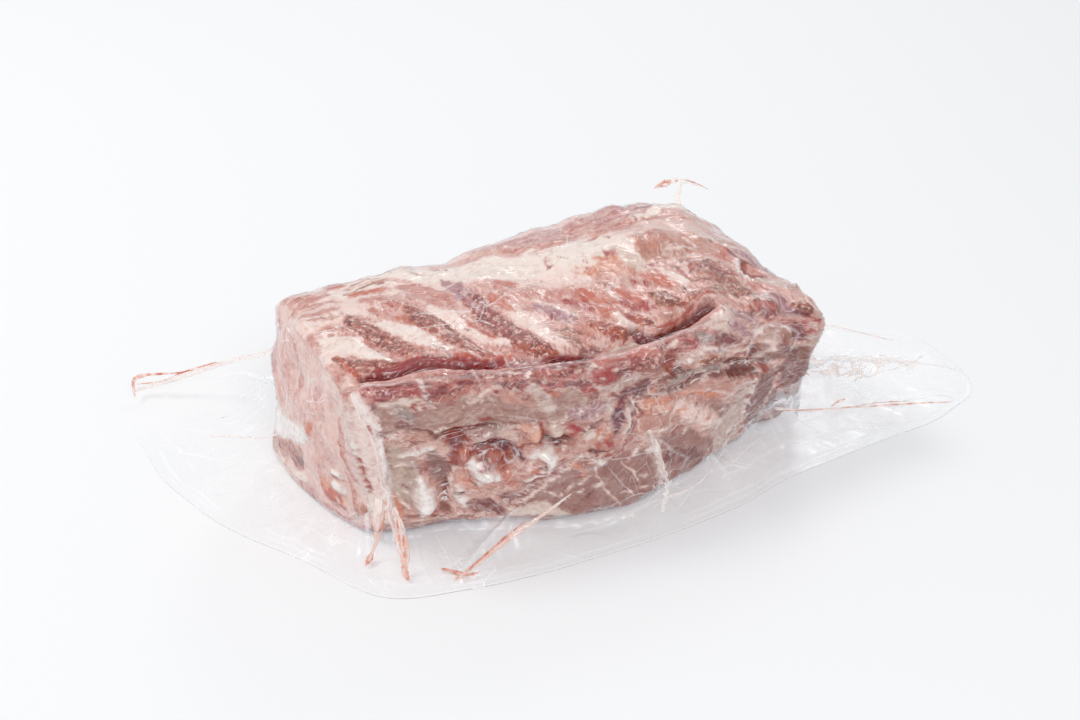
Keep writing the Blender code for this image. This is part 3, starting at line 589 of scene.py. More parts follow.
    ("rust", (86, -32.6, 1.6), (91, -35.6, 2.7), (95, -40, 1.6)),
    ("duskBone", (84, -14, 4), (90, -19, 7), (100, -20, 8), (102, -30, 4)),
    ("greySkin", (86, -26, 2.4), (92, -20, 3.4), (96, -12, 3)),
    ("slate", (90, -34, 2), (96, -30, 3), (102, -24, 2.4)),
    ("darkBrown", (88, -30, 0.7), (94, -27, 1), (99, -29, 0.8)),
    ("wine", (88, -14, 1), (91, -18, 1.4)),
    ("softFat", (84, -12, 1.2), (92, -14, 1.4), (96, -24, 1.4)),
    ("wine", (99, -19, 1.8), (103, -23, 2.6), (106, -30, 1.6)),
    ("darkBrown", (81, -25, 1), (83.6, -21.6, 1.9), (82, -17, 1)),
    ("brown", (93, -27, 1.2), (98, -31, 2), (105, -34, 1.4)),
    ("whiteLine", (81, -22, 0.5), (83, -12, 0.9), (91, -6.6, 0.9), (102, -9, 0.9), (107, -18, 0.6)),
    ("whiteLine", (88, -36.6, 0.4), (94, -33, 0.6), (100, -37, 0.4)),
    ("darkMuscle", (112, -30, 6), (116, -48, 6), (116, -66, 5)),
    ("wine", (108, -36, 1), (110, -48, 1.6), (106, -58, 1)),
    ("wine", (114, -40, 1), (115, -54, 1.4), (111, -66, 0.8)),
    ("whiteLine", (104, -42, 0.4), (103, -56, 0.6), (98, -74, 0.3)),
    ("maroon", (106, -8, 3), (109, -15, 4.4)),
    ("redLean", (110, -6, 1.6), (114, -12, 2.6), (116, -18, 2)),
    ("greySkin", (115, -16, 2.4), (118, -22, 3)),
    ("brown", (113, -26, 1.6), (115, -34, 2.4)),
    ("redLean", (104, -50, 1), (107, -62, 1.4)),
    ("gloss", (87, -43, 0.8), (84, -58, 0.9), (83, -76, 0.7)),
]
backTissues = [  # down the back, from 112 to 202
    ("softFat", (-112, 116, 7), (-60, 117, 6), (0, 116, 4), (56, 117, 6), (110, 120, 8)),
    ("lean", (-98, 136, 7), (-56, 140, 11), (-10, 138, 10), (14, 134, 6)),
    ("lean", (10, 148, 7), (54, 142, 12), (104, 146, 9)),
    ("paleLean", (-104, 178, 8), (-40, 182, 10), (22, 184, 8)),
    ("softRed", (48, 176, 7), (78, 172, 10), (106, 174, 7)),
    ("fat", (-114, 160, 4), (-74, 161, 2.6), (-30, 158, 4), (6, 164, 3), (30, 160, 1.6)),
    ("fat", (6, 124, 1.4), (24, 140, 2.4), (32, 158, 3), (36, 178, 4), (40, 194, 2.4)),
    ("cream", (-112, 198, 4), (-60, 199, 3), (-6, 200, 3), (60, 198, 4), (112, 197, 5)),
    ("whiteLine", (-104, 130, 0.3), (-60, 126, 0.7), (-14, 130, 0.4)),
    ("whiteLine", (-70, 146, 0.3), (-34, 147, 0.6), (0, 143, 0.3)),
    ("whiteLine", (46, 152, 0.3), (72, 156, 0.7), (106, 152, 0.4)),
    ("whiteLine", (60, 130, 0.2), (74, 142, 0.6), (80, 156, 0.2)),
    ("whiteLine", (-66, 172, 0.2), (-54, 184, 0.6), (-50, 196, 0.2)),
    ("redLean", (-90, 150, 1.6), (-74, 151, 2.4), (-60, 149, 1.2)),
    ("redLean", (54, 188, 1.4), (70, 189, 2.2), (82, 187, 1)),
    ("wine", (88, 126, 1.2), (98, 130, 1.8), (106, 136, 1)),
    ("mauveFilm", (-36, 122, 2), (-16, 124, 3), (0, 122, 1.4)),
]

# The tissues on the two sawn ends, each a run of (y, z, half width).
rightTissues = [
    ("softFat", (-50, 72, 6), (-6, 76, 6), (30, 66, 6)),
    ("cream", (-56, 8, 4), (-10, 5, 3), (34, 7, 4)),
    ("softRed", (4, 56, 5), (12, 44, 11), (14, 32, 11), (6, 20, 5)),
    ("lean", (-30, 50, 8), (-36, 32, 9), (-28, 18, 6)),
    ("fat", (-8, 68, 3), (-11, 50, 1.8), (-9, 32, 2.6), (-14, 14, 1.8)),
    ("fat", (-10, 34, 1.4), (-26, 28, 1.2), (-46, 30, 2)),
    ("fat", (38, 58, 1.6), (36, 34, 2.8), (28, 12, 2)),
    ("whiteLine", (0, 58, 0.3), (12, 46, 0.7), (26, 44, 0.3)),
    ("whiteLine", (2, 30, 0.2), (14, 22, 0.5), (24, 25, 0.2)),
    ("whiteLine", (-44, 50, 0.2), (-34, 44, 0.6), (-18, 46, 0.2)),
    ("redLean", (-40, 18, 1), (-32, 12, 1.8), (-22, 12, 1)),
    ("paleLean", (-42, 64, 4.4), (-32, 60, 4)),
]
leftTissues = [
    ("bandHaze", (-38, 70, 8), (-42, 40, 7), (-44, 14, 6)),
    ("paleLean", (20, 74, 12), (26, 50, 12)),
    ("mauveLean", (38, 76, 5), (39, 46, 5)),
    ("lean", (10, 80, 2), (4, 66, 3), (8, 54, 2)),
    ("mauveLean", (-14, 70, 3), (-20, 60, 2)),
    ("paleLean", (-12, 62, 9), (-6, 50, 9), (-18, 40, 8)),
    ("whiteFat", (42, 20, 5), (28, 26, 6), (12, 33, 6), (-1, 40, 3.6)),
    ("deepPeach", (-6, 44, 2.6), (-9, 50, 2)),
    ("tan", (38, 10, 4), (26, 14, 5), (12, 20, 5), (4, 26, 2)),
    ("redLean", (30, 14, 1), (20, 18, 1.6), (10, 22, 1.2)),
    ("redLean", (12, 15, 2.6), (8, 16, 2.4)),
    ("blood", (10, 16.4, 1.1), (7, 17, 1.4)),
    ("paleLean", (-14, 34, 5), (-10, 24, 5)),
    ("deepPeach", (-12, 20, 3), (-17, 15, 4), (-20, 22, 3), (-26, 14, 2)),
    ("redLean", (-15, 13, 1.2), (-22, 11, 1.4), (-28, 12, 1)),
    ("redLean", (-21, 27, 0.8), (-28, 27.4, 0.9)),
    ("gloss", (-23, 30, 1.4), (-26, 29, 1.2)),
    ("gloss", (-22, 23, 2), (-27, 21, 1.8)),
    ("pinkKnob", (-25, 17, 1.4)),
    ("fat", (-1, 76, 0.8), (-4, 72, 1.2), (-3, 67, 0.4)),
    ("whiteLine", (-4, 72, 0.7), (-12, 76, 0.4), (-24, 84, 0.3)),
    ("whiteLine", (-4, 72, 0.6), (6, 76, 0.3)),
    ("fat", (18, 48, 0.4), (15, 42, 1.4), (20, 39, 0.4)),
    ("whiteLine", (15, 42, 0.5), (8, 54, 0.2), (2, 60, 0)),
    ("lean", (-33, 66, 1.2), (-35, 50, 1.4), (-37, 34, 1.2)),
    ("lean", (-31, 40, 0.9), (-32, 26, 1.2), (-34, 14, 1)),
    ("tan", (-34, 12, 2), (-40, 18, 3)),
    ("mauveLean", (10, 4, 2), (-20, 4, 3), (-44, 4, 3)),
    ("fat", (30, 7, 1), (16, 7, 2), (4, 9, 1.4)),
]

# Small stray flecks: tissue, how many, from and to along, from and to round, which way they run,
# longest and widest.
flecks = [
    ("redWisp", 44, -104, 58, -13, -1, 0.1, 7, 1.2),
    ("darkWisp", 26, -104, 58, -14, -1, 0.3, 8, 0.9),
    ("wisp", 34, -104, 110, -16, 0, 0.5, 9, 0.7),
    ("wisp", 80, -112, 112, 4, 104, -1.1, 15, 0.6),
    ("redWisp", 40, -106, 108, 6, 90, -1.1, 7, 0.7),
    ("darkWisp", 26, -106, 108, 6, 100, -0.9, 9, 0.5),
    ("wisp", 60, -98, 110, -84, -26, 0.4, 13, 0.6),
    ("redWisp", 40, -96, 100, -62, -22, 0.3, 7, 1.0),
    ("darkWisp", 36, -96, 112, -80, -22, 0.2, 9, 0.8),
    ("orangeJuice", 16, -98, 60, -62, -26, 0.5, 8, 0.8),
    ("wisp", 50, -112, 112, 96, 190, 0.1, 18, 0.8),
    ("redWisp", 20, -112, 112, 100, 190, 0.1, 9, 0.8),
]

# Lumps and hollows of the surface: height, softness, then (x, distance round the block, half width).
lumps = [
    (2.6, 3, (-104, -3, 4), (-88, -3, 4)), (2.6, 3, (-76, -1, 4), (-62, -1, 4)),
    (2.4, 3, (-52, -2, 4), (-36, -3, 4)), (2.4, 3, (-26, -3, 4), (-12, -4, 3)), (3.4, 4, (2, -9, 5)),
    (4, 5, (24, -8, 6)), (3, 4, (46, -4, 4)), (-3, 2.6, (-82, -4, 1)), (-3, 2.6, (-57, -5, 1)),
    (-2.4, 2.4, (-32, -5, 1)), (-2.4, 2.4, (-10, -8, 1.4)), (-4, 3, (13, -17, 1.6)),
    (-3.4, 3, (34, -14, 2), (40, -19, 2)), (-3.4, 3, (-74, -31, 1.6), (-52, -30, 1.4)),
    (-5, 3.4, (-69, -36, 2.6)), (-5, 3.4, (-60, -41, 2), (-47, -42, 2)),
    (-4, 2.6, (-44, -45, 1.4), (-50, -52, 1.4)), (-5.5, 3, (-28, -40, 2.2), (-20, -41.6, 2)),
    (-6, 4, (70, -29, 3), (87, -35, 3.6)), (-3.4, 3.4, (-77, -50, 3)),
    (-3.4, 3, (-76, -62, 1), (-73, -74, 1)), (-3, 3, (-46, -64, 2), (-32, -61, 1)),
    (-3, 3, (16, -30, 1.6)), (-3, 3, (34, -30, 1), (60, -31, 1.6)),
    (4.6, 4, (-84, -62, 4), (-83, -70, 3)), (3.6, 2.6, (-66, -44.4, 1.6)), (4.6, 4, (-58, -53, 3.4)),
    (3.4, 3, (-53, -46, 1.4)), (4.4, 3.4, (-35, -34, 2.6)), (4.4, 4, (-30, -49, 3)),
    (4, 3, (-25, -33.6, 2.2)), (3.4, 3, (8, -38, 2.6)), (3.4, 3, (-2, -46.6, 2.6)),
    (4.4, 4, (46, -17, 2.6), (60, -17, 2.6)), (3.4, 4, (92, -18, 5), (100, -22, 4)), (3, 4, (30, -36, 4)),
    (3, 4, (46, -46, 4), (56, -56, 3)), (2.6, 3, (-96, -18, 5), (-70, -17, 5)), (2.4, 3, (-44, -14, 5)),
    (4, 5, (93, 6, 5)), (2.6, 3, (112, 6, 3)), (-3, 3, (102, 40, 3)), (2.4, 4, (76, 35, 5)),
    (-2.4, 3, (62, 24, 2)), (2.4, 4, (70, 58, 7)), (3, 4, (68, 4, 3)),
]


meatForm = dict(
    uneven=((3.0, 29), (1.5, 13), (0.5, 5), (0.35, 2.4)),  # height and size of the lumps, from broad to fine
    streakHeight=0.7, streakWidth=2.3,
    ribSlant=(0.92, 0.4),  # cosine and sine of the way the ribs run over the top
    wander=((9, 1.3, 1, 4), (3.2, 0.8, 2, 7)),  # size, reach and two seeds of the waves in the tissues' edges
    lowest=1,
    seed=8,
    haze=0.03, light=(1.0, 1.13, 1.18),  # what the film adds to a colour, and how much of the rest it passes
    frontLean=(178, 129, 119), frontPale=(220, 188, 178),
    paintedLitPink=(231, 204, 196), leftDarkest=(0.3, 0.14, 0.12),  # the left end, painted paler and brighter for the light falling on it and the white sheen of its film
    darker=1.32, brighter=1.12, middle=(197, 158, 150),  # spreads the colours away from the middle one
    # whitest caps the painted colours; wet fat may go whiter than that, for the painted glints on it
    whitest=(0.87, 0.76, 0.7), wetFatPaintedGlint=(0.18, 0.34, 0.42),
)
fleshParts = ("bone", "fat", "wet", "calm")
nearEnd = 0.999  # past this share of half its length a point of the block is on an end


def smooth(values):
    values = np.clip(values, 0, 1)
    return values * values * (3 - 2 * values)


def noiseAt(points, size, shift=0.0):
    # smooth noise from about -1 to 1, with lumps of this size
    moved = points / size + np.array((shift, shift * 1.7, shift * 0.6))
    return np.array([noise.noise(point) for point in moved.tolist()])


def creaseAt(points, size, shift=0.0, sharp=6.0):
    # thin ridges from 0 to 1, where the noise crosses zero
    return np.exp(-np.abs(noiseAt(points, size, shift)) * sharp)


def strokeDepth(chart, points):
    # how far inside a tapered stroke each point of the chart is, in millimetres, and below zero outside it
    depth = np.full(len(chart), -999.0)
    points = [np.array(point, float) for point in points]
    for start, end in zip(points, points[1:] or points):
        run = end[:2] - start[:2]
        share = np.clip(((chart - start[:2]) @ run) / max(run @ run, 1e-6), 0, 1)
        gap = np.hypot(*(chart - start[:2] - share[:, None] * run).T)
        depth = np.maximum(depth, start[2] + share * (end[2] - start[2]) - gap)
    return depth


def underFilm(red, green, blue):
    # the meat's own colour, from the colour it shows through the hazy film
    return np.clip((sRgb(red, green, blue) - meatForm["haze"]) / np.array(meatForm["light"]), 0.002, 0.95)


def strewFlecks():
    chance = random.Random(meatForm["seed"])
    strewn = []
    for name, count, left, right, low, high, slope, longest, widest in flecks:
        for _ in range(count):
            x, round_ = chance.uniform(left, right), chance.uniform(low, high)
            turn, length = slope + chance.gauss(0, 0.35), longest * chance.uniform(0.3, 1)
            width = widest * chance.uniform(0.4, 1)
            middle = (x + math.cos(turn) * length / 2, round_ + math.sin(turn) * length / 2, width)
            turn += chance.gauss(0, 0.4)
            tip = width * 0.2
            far = (middle[0] + math.cos(turn) * length / 2, middle[1] + math.sin(turn) * length / 2, tip)
            strewn.append((name, (x, round_, tip), middle, far))
    return strewn


def layTissues(flesh, strokes, chart, where):
    for name, *points in strokes:
        tissue = tissues[name]
        widest = max(point[2] for point in points)
        around = widest + tissue["soft"] + tissue["streak"]
        low = np.min(points, axis=0)[:2] - around
        high = np.max(points, axis=0)[:2] + around
        near = np.flatnonzero(where & ((chart > low) & (chart < high)).all(axis=1))
        depth = strokeDepth(chart[near], points) + flesh["streak"][near] * tissue["streak"]
        depth = depth + flesh["ragged"][near] * min(tissue["streak"], 1.2)
        cover = smooth(depth / tissue["soft"] + 0.5)
        cover = cover * (1 - tissue.get("speckle", 0) * flesh["speck"][near])
        dome = np.sqrt(np.clip(depth / widest, 0, 1))
        lift = tissue["lift"] * (0.45 + 0.55 * dome) if tissue["lift"] > 0 else tissue["lift"]
        flesh["lift"][near] += (lift - flesh["lift"][near]) * cover
        flesh["colour"][near] += (underFilm(*tissue["colour"]) - flesh["colour"][near]) * cover[:, None]
        for part in fleshParts:
            flesh[part][near] += (tissue.get(part, 0) - flesh[part][near]) * cover


def makeStreaks(points, chart, onEnd, ribbed):
    # they run along the ribs over the middle of the top, and lengthwise at the back and down the front
    x, round_ = chart.T
    cosine, sine = meatForm["ribSlant"]
    width = meatForm["streakWidth"]
    alongRib, acrossRib = cosine * round_ - sine * x, cosine * x + sine * round_
    ribwise = np.stack((acrossRib / width, alongRib / 10, points[:, 2] / 9), axis=1)
    lengthwise = np.stack((x / 11, round_ / width, x * 0), axis=1)
    lengthwise[onEnd] = points[onEnd] / (9, 9, 24)
    return noiseAt(ribwise, 1) * ribbed + noiseAt(lengthwise, 1) * (1 - ribbed)


def makeWander(points):
    # how far the edges of the tissues stray from their strokes
    wander = 0
    for size, reach, *shifts in meatForm["wander"]:
        wander = wander + np.stack([noiseAt(points, size, shift) for shift in shifts], axis=1) * reach
    return wander


def blendFlesh(first, second, mix):
    return underFilm(*first) * (1 - mix) + underFilm(*second) * mix


def paintFlesh(flesh, unit, points, chart, wander):
    leftEnd, rightEnd = unit[:, 0] < -nearEnd, unit[:, 0] > nearEnd
    onEnd = leftEnd | rightEnd
    mix = smooth(noiseAt(points, 21, 11) * 1.6 + flesh["streak"] + 0.5)[:, None]
    flesh["colour"] = blendFlesh(tissues["lean"]["colour"], tissues["paleLean"]["colour"], mix)
    front = (smooth((-2 - chart[:, 1]) / 8) * ~onEnd)[:, None]
    brownish = blendFlesh(meatForm["frontLean"], meatForm["frontPale"], mix)
    flesh["colour"] += (brownish - flesh["colour"]) * front
    for strokes in (topTissues, frontTissues, backTissues, strewFlecks()):
        layTissues(flesh, strokes, chart + wander, ~onEnd)
    layTissues(flesh, slotTissues, chart + wander * 0.4, ~onEnd)
    flesh["calm"][rightEnd] = 0.4
    layTissues(flesh, rightTissues, points[:, 1:] + wander, rightEnd)
    # the left end is painted paler and brighter all over, standing in for the light on that end and the white
    # sheen of its film; the 1.06 below brightens it further
    paintedLitPink = underFilm(*meatForm["paintedLitPink"])
    flesh["colour"][leftEnd] += (paintedLitPink - flesh["colour"][leftEnd]) * 0.9
    flesh["wet"][onEnd] = 0.4
    flesh["calm"][leftEnd] = 0.7
    layTissues(flesh, leftTissues, points[:, 1:] + wander, leftEnd)
    deeper = paintedLitPink * 1.06 + (flesh["colour"][leftEnd] - paintedLitPink) * 1.3
    flesh["colour"][leftEnd] = np.clip(deeper, meatForm["leftDarkest"], 0.95)
    middle = underFilm(*meatForm["middle"])
    power = np.where(flesh["colour"] > middle, meatForm["brighter"], meatForm["darker"])
    # wet fat may be whiter than the cap, to carry painted glints
    whitest = np.array(meatForm["whitest"]) + (flesh["wet"] * flesh["fat"])[:, None] * meatForm["wetFatPaintedGlint"]
    flesh["colour"] = np.minimum(middle * (flesh["colour"] / middle) ** power, whitest)


def raiseFlesh(flesh, points, normals, wrapped, onEnd):
    (broad, broadSize), (fine, fineSize), (pebble, pebbleSize), (grit, gritSize) = meatForm["uneven"]
    rise = broad * noiseAt(points, broadSize, 3.1)
    rise += fine * noiseAt(points, fineSize, 0.4)
    for height, soft, *line in lumps:
        rise += height * smooth(strokeDepth(wrapped, line) / soft / 1.6 + 0.7) * ~onEnd
    soft = 1 - flesh["bone"]
    rise += pebble * noiseAt(points, pebbleSize, 21) * soft + grit * noiseAt(points, gritSize, 5)
    rise += meatForm["streakHeight"] * flesh["streak"] * soft * ~onEnd
    rise += flesh["lift"]
    rise *= smooth(points[:, 2] / 6)
    raised = points + normals * rise[:, None]
    raised[:, 2] = np.maximum(raised[:, 2], meatForm["lowest"])
    return raised


def makeMeat():
    mesh, unit, points = makeSmoothBlock()
    normals = normalsOf(mesh)
    count = len(points)
    chart = wrapChart(unit, points)
    onEnd = np.abs(unit[:, 0]) > nearEnd
    ribbed = smooth((chart[:, 1] + 1) / 6) * smooth((82 - chart[:, 1]) / 16)
    flesh = {part: np.zeros(count) for part in ("lift", *fleshParts)}
    flesh["streak"] = makeStreaks(points, chart, onEnd, ribbed)
    flesh["ragged"] = noiseAt(points, 2.3, 47)
    flesh["speck"] = smooth(noiseAt(points, 2.6, 41) * 1.5 + noiseAt(points, 6, 43) + 0.4)
    wander = makeWander(points)
    paintFlesh(flesh, unit, points, chart, wander)
    setCoords(mesh, raiseFlesh(flesh, points, normals, chart + wander, onEnd) * mm)

    colours = np.concatenate((flesh["colour"], np.ones((count, 1))), axis=1)
    mesh.attributes.new("flesh", "FLOAT_COLOR", "POINT").data.foreach_set("color", colours.ravel())
    for part in fleshParts:
        saveValues(mesh, part, flesh[part])
    saveValues(mesh, "ribbed", ribbed)
    mesh.attributes.new("chart", "FLOAT2", "POINT").data.foreach_set("vector", chart.ravel())
    return mesh


def readChart(mesh):
    chart = np.empty(len(mesh.vertices) * 2)
    mesh.attributes["chart"].data.foreach_get("vector", chart)
    return chart.reshape(-1, 2)


def join(tree, value, socket):
    # a plain value is set on the socket, and another node's output is linked to it
    if isinstance(value, bpy.types.NodeSocket):
        tree.links.new(value, socket)
    else:
        socket.default_value = value


def addMath(tree, operation, first, second=0.5, third=0.0):
    made = tree.nodes.new("ShaderNodeMath")
    made.operation = operation
    for value, socket in zip((first, second, third), made.inputs):
        join(tree, value, socket)
    return made.outputs[0]


def multiply(tree, first, second):
    return addMath(tree, "MULTIPLY", first, second)


def addNoise(tree, where, size, detail=2.0, roughness=0.5):
    # noise with lumps of this many millimetres
    made = tree.nodes.new("ShaderNodeTexNoise")
    join(tree, where, made.inputs["Vector"])
    made.inputs["Scale"].default_value = 1000 / size
    made.inputs["Detail"].default_value = detail
    made.inputs["Roughness"].default_value = roughness
    return made.outputs[0]


def addCells(tree, where, size, feature="DISTANCE_TO_EDGE"):
    made = tree.nodes.new("ShaderNodeTexVoronoi")
    made.feature = feature
    join(tree, where, made.inputs["Vector"])
    made.inputs["Scale"].default_value = 1000 / size
    return made.outputs["Distance"]


def addStep(tree, value, start, end, low=0.0, high=1.0):
    # smooth change from low to high as the value goes from start to end
    made = tree.nodes.new("ShaderNodeMapRange")
    made.interpolation_type = "SMOOTHSTEP"
    join(tree, value, made.inputs["Value"])
    for name, amount in (("From Min", start), ("From Max", end), ("To Min", low), ("To Max", high)):
        made.inputs[name].default_value = amount
    return made.outputs[0]


def addPatches(tree, where, size, start, end, detail=1):
    # soft patches of about this size, to keep an effect to some places
    return addStep(tree, addNoise(tree, where, size, detail), start, end)


def addMix(tree, share, first, second, blend="MIX"):
    made = tree.nodes.new("ShaderNodeMix")
    made.data_type = "RGBA"
    made.blend_type = blend
    join(tree, share, made.inputs["Factor"])
    join(tree, first, made.inputs[6])
    join(tree, second, made.inputs[7])
    return made.outputs[2]


def addStretch(tree, where, scale, turn=(0, 0, 0)):
    made = tree.nodes.new("ShaderNodeMapping")
    join(tree, where, made.inputs["Vector"])
    made.inputs["Scale"].default_value = scale
    made.inputs["Rotation"].default_value = [math.radians(angle) for angle in turn]
    return made.outputs[0]


def addBump(tree, height, distance, strength):
    made = tree.nodes.new("ShaderNodeBump")
    join(tree, height, made.inputs["Height"])
    made.inputs["Distance"].default_value = distance * mm
    made.inputs["Strength"].default_value = strength
    return made.outputs[0]


def readAttribute(tree, name, output="Fac"):
    made = tree.nodes.new("ShaderNodeAttribute")
    made.attribute_name = name
    return made.outputs[output]


def newMaterial(name):
    material = bpy.data.materials.new(name)
    material.use_nodes = True
    tree = material.node_tree
    where = tree.nodes.new("ShaderNodeTexCoord").outputs["Object"]
    return material, tree, tree.nodes["Principled BSDF"], where


def colourOf(red, green, blue):
    return (*sRgb(red, green, blue), 1.0)


# How much of each effect shows on the meat, and its colour.
meatLook = dict(
    roughness=0.46, wetRoughness=0.2,
    mottle=0.42, mottleColour=(190, 110, 100),
    pale=0.3, paleColour=(242, 208, 196),
    fibre=0.44, fibreColour=(252, 230, 220),
    strand=0.48, strandColour=(178, 96, 84),
    wetDark=0.36, wetDarkColour=(140, 60, 54),
    wetPaintedGlint=0.16, wetPaintedGlintColour=(238, 206, 200),
    fascia=0.3, fasciaColour=(250, 232, 226),
    seam=0.6, seamColour=(146, 62, 50),
    fatStreak=0.34, fatStreakColour=(226, 164, 150),
    fatWhite=0.3, fatWhiteColour=(250, 240, 234),
    vein=0.4, veinColour=(200, 112, 100),
    strut=0.75, strutColour=(232, 194, 180),
    pit=0.72, pitColour=(92, 34, 36),
    rim=0.4, rimColour=(190, 92, 62),
)


def tint(tree, colour, effect, share, blend="MIX"):
    # lays the colour of one effect over what is there
    return addMix(tree, share, colour, colourOf(*meatLook[effect + "Colour"]), blend)


def meatMaterial():
    material, tree, shader, where = newMaterial("rawPork")
    look = meatLook
    flesh = readAttribute(tree, "flesh", "Color")
    bone, fat, wet, calm, ribbed = (readAttribute(tree, name) for name in (*fleshParts, "ribbed"))
    bent = addMix(tree, 0.014, where, addNoise(tree, where, 8, 2), "ADD")
    ribwise = addStretch(tree, bent, (1, 0.16, 0.5), (0, 0, 23))
    lengthwise = addStretch(tree, bent, (0.14, 1, 1))
    grain = addMix(tree, ribbed, lengthwise, ribwise)
    coarse = addNoise(tree, grain, 2.4, 3, 0.6)
    fine = addNoise(tree, grain, 0.8, 2, 0.6)
    ragged = addMath(tree, "MULTIPLY_ADD", coarse, 1.5, -0.75)
    crispFat = addStep(tree, addMath(tree, "ADD", fat, ragged), 0.3, 0.75)
    crispBone = addStep(tree, bone, 0.35, 0.6)
    notBone, notFat = (addMath(tree, "SUBTRACT", 1.0, part) for part in (crispBone, crispFat))
    lean = multiply(tree, notBone, notFat)
    lean = multiply(tree, lean, addStep(tree, wet, 0.1, 0.8, 1, 0.1))
    lean = multiply(tree, lean, addStep(tree, calm, 0, 1, 1, 0.25))

    mottle = addNoise(tree, where, 5, 4, 0.65)
    colour = tint(tree, flesh, "mottle", addStep(tree, mottle, 0.3, 0.52, look["mottle"], 0), "MULTIPLY")
    pale = addStep(tree, mottle, 0.52, 0.78, 0, look["pale"])
    colour = tint(tree, colour, "pale", multiply(tree, pale, addStep(tree, wet, 0.1, 0.9, 1, 0.15)))
    fibre = multiply(tree, addStep(tree, coarse, 0.46, 0.64), lean)
    colour = tint(tree, colour, "fibre", multiply(tree, fibre, look["fibre"]))
    strand = multiply(tree, addStep(tree, fine, 0.56, 0.3), lean)
    colour = tint(tree, colour, "strand", multiply(tree, strand, look["strand"]), "MULTIPLY")

    blotch = addNoise(tree, where, 2.6, 3, 0.7)
    wetDark = multiply(tree, addStep(tree, blotch, 0.5, 0.36), multiply(tree, wet, look["wetDark"]))
    colour = tint(tree, colour, "wetDark", wetDark, "MULTIPLY")
    # pale blotches on the wet tissue: painted glints
    wetPaintedGlint = multiply(tree, addStep(tree, blotch, 0.58, 0.74), multiply(tree, wet, look["wetPaintedGlint"]))
    colour = tint(tree, colour, "wetPaintedGlint", wetPaintedGlint)
    web = addCells(tree, addStretch(tree, bent, (0.5, 1, 1), (0, 0, 10)), 13)
    fascia = multiply(tree, addStep(tree, web, 0.0, 0.035, look["fascia"], 0), lean)
    fascia = multiply(tree, fascia, addPatches(tree, where, 16, 0.45, 0.62))
    colour = tint(tree, colour, "fascia", fascia)
    seams = multiply(tree, addStep(tree, addCells(tree, grain, 5), 0.0, 0.06, look["seam"], 0), lean)
    colour = tint(tree, colour, "seam", multiply(tree, seams, addPatches(tree, where, 11, 0.56, 0.68)))

    streaky = multiply(tree, addStep(tree, coarse, 0.5, 0.3), crispFat)
    colour = tint(tree, colour, "fatStreak", multiply(tree, streaky, look["fatStreak"]))
    colour = tint(tree, colour, "fatWhite", multiply(tree, crispFat, look["fatWhite"]))
    branches = addCells(tree, addStretch(tree, bent, (0.6, 1, 1)), 7)
    branches = addStep(tree, branches, 0.0, 0.06, look["vein"], 0)
    veined = multiply(tree, fat, addPatches(tree, where, 12, 0.5, 0.62))
    colour = tint(tree, colour, "vein", multiply(tree, branches, veined))

    pores = addCells(tree, bent, 1.8, "F1")
    spots = addNoise(tree, where, 2.4, 3, 0.7)
    hole = addMath(tree, "MAXIMUM", addStep(tree, pores, 0.46, 0.28), addStep(tree, spots, 0.46, 0.4))
    hole = multiply(tree, hole, addStep(tree, addNoise(tree, where, 7, 2), 0.34, 0.56, 0.25, 1))
    struts = addStep(tree, spots, 0.52, 0.62, 0, look["strut"])
    colour = tint(tree, colour, "strut", multiply(tree, struts, crispBone))
    colour = tint(tree, colour, "pit", multiply(tree, multiply(tree, hole, crispBone), look["pit"]))
    rim = multiply(tree, addStep(tree, bone, 0.12, 0.4), addStep(tree, bone, 0.75, 0.45))
    colour = tint(tree, colour, "rim", multiply(tree, rim, look["rim"]))
    join(tree, colour, shader.inputs["Base Color"])

    join(tree, addStep(tree, wet, 0, 1, look["roughness"], look["wetRoughness"]), shader.inputs["Roughness"])
    height = addMath(tree, "MULTIPLY_ADD", hole, multiply(tree, bone, -1.0), multiply(tree, coarse, 0.7))
    join(tree, addBump(tree, height, 0.5, 0.7), shader.inputs["Normal"])
    return material


def addPiece(name, mesh, material, slot=None):
    piece = bpy.data.objects.new(name, mesh)
    bpy.context.scene.collection.objects.link(piece)
    mesh.materials.append(material)
    mesh.shade_smooth()
    if slot:
        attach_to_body(piece, "root")
    return piece


meat = addPiece("porkCollar", makeMeat(), meatMaterial(), "packed_meat")
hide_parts("vacuum_pack")
print("meat done")


film = dict(
    tentRounds=44,  # how far the film is pulled tight over hollows before it touches the meat
    clearance=0.35, deepest=7,  # the least and the most that it stands off the meat
    lowest=0.4,
    flatter=0.6,  # how much lower the folds are over the top
    mirror=0.042,  # how much it reflects head on
    creases=330, creaseLength=(5, 24), creaseWidth=(1.1, 1.7), creaseHeight=(0.25, 0.8),
    seed=23,
)
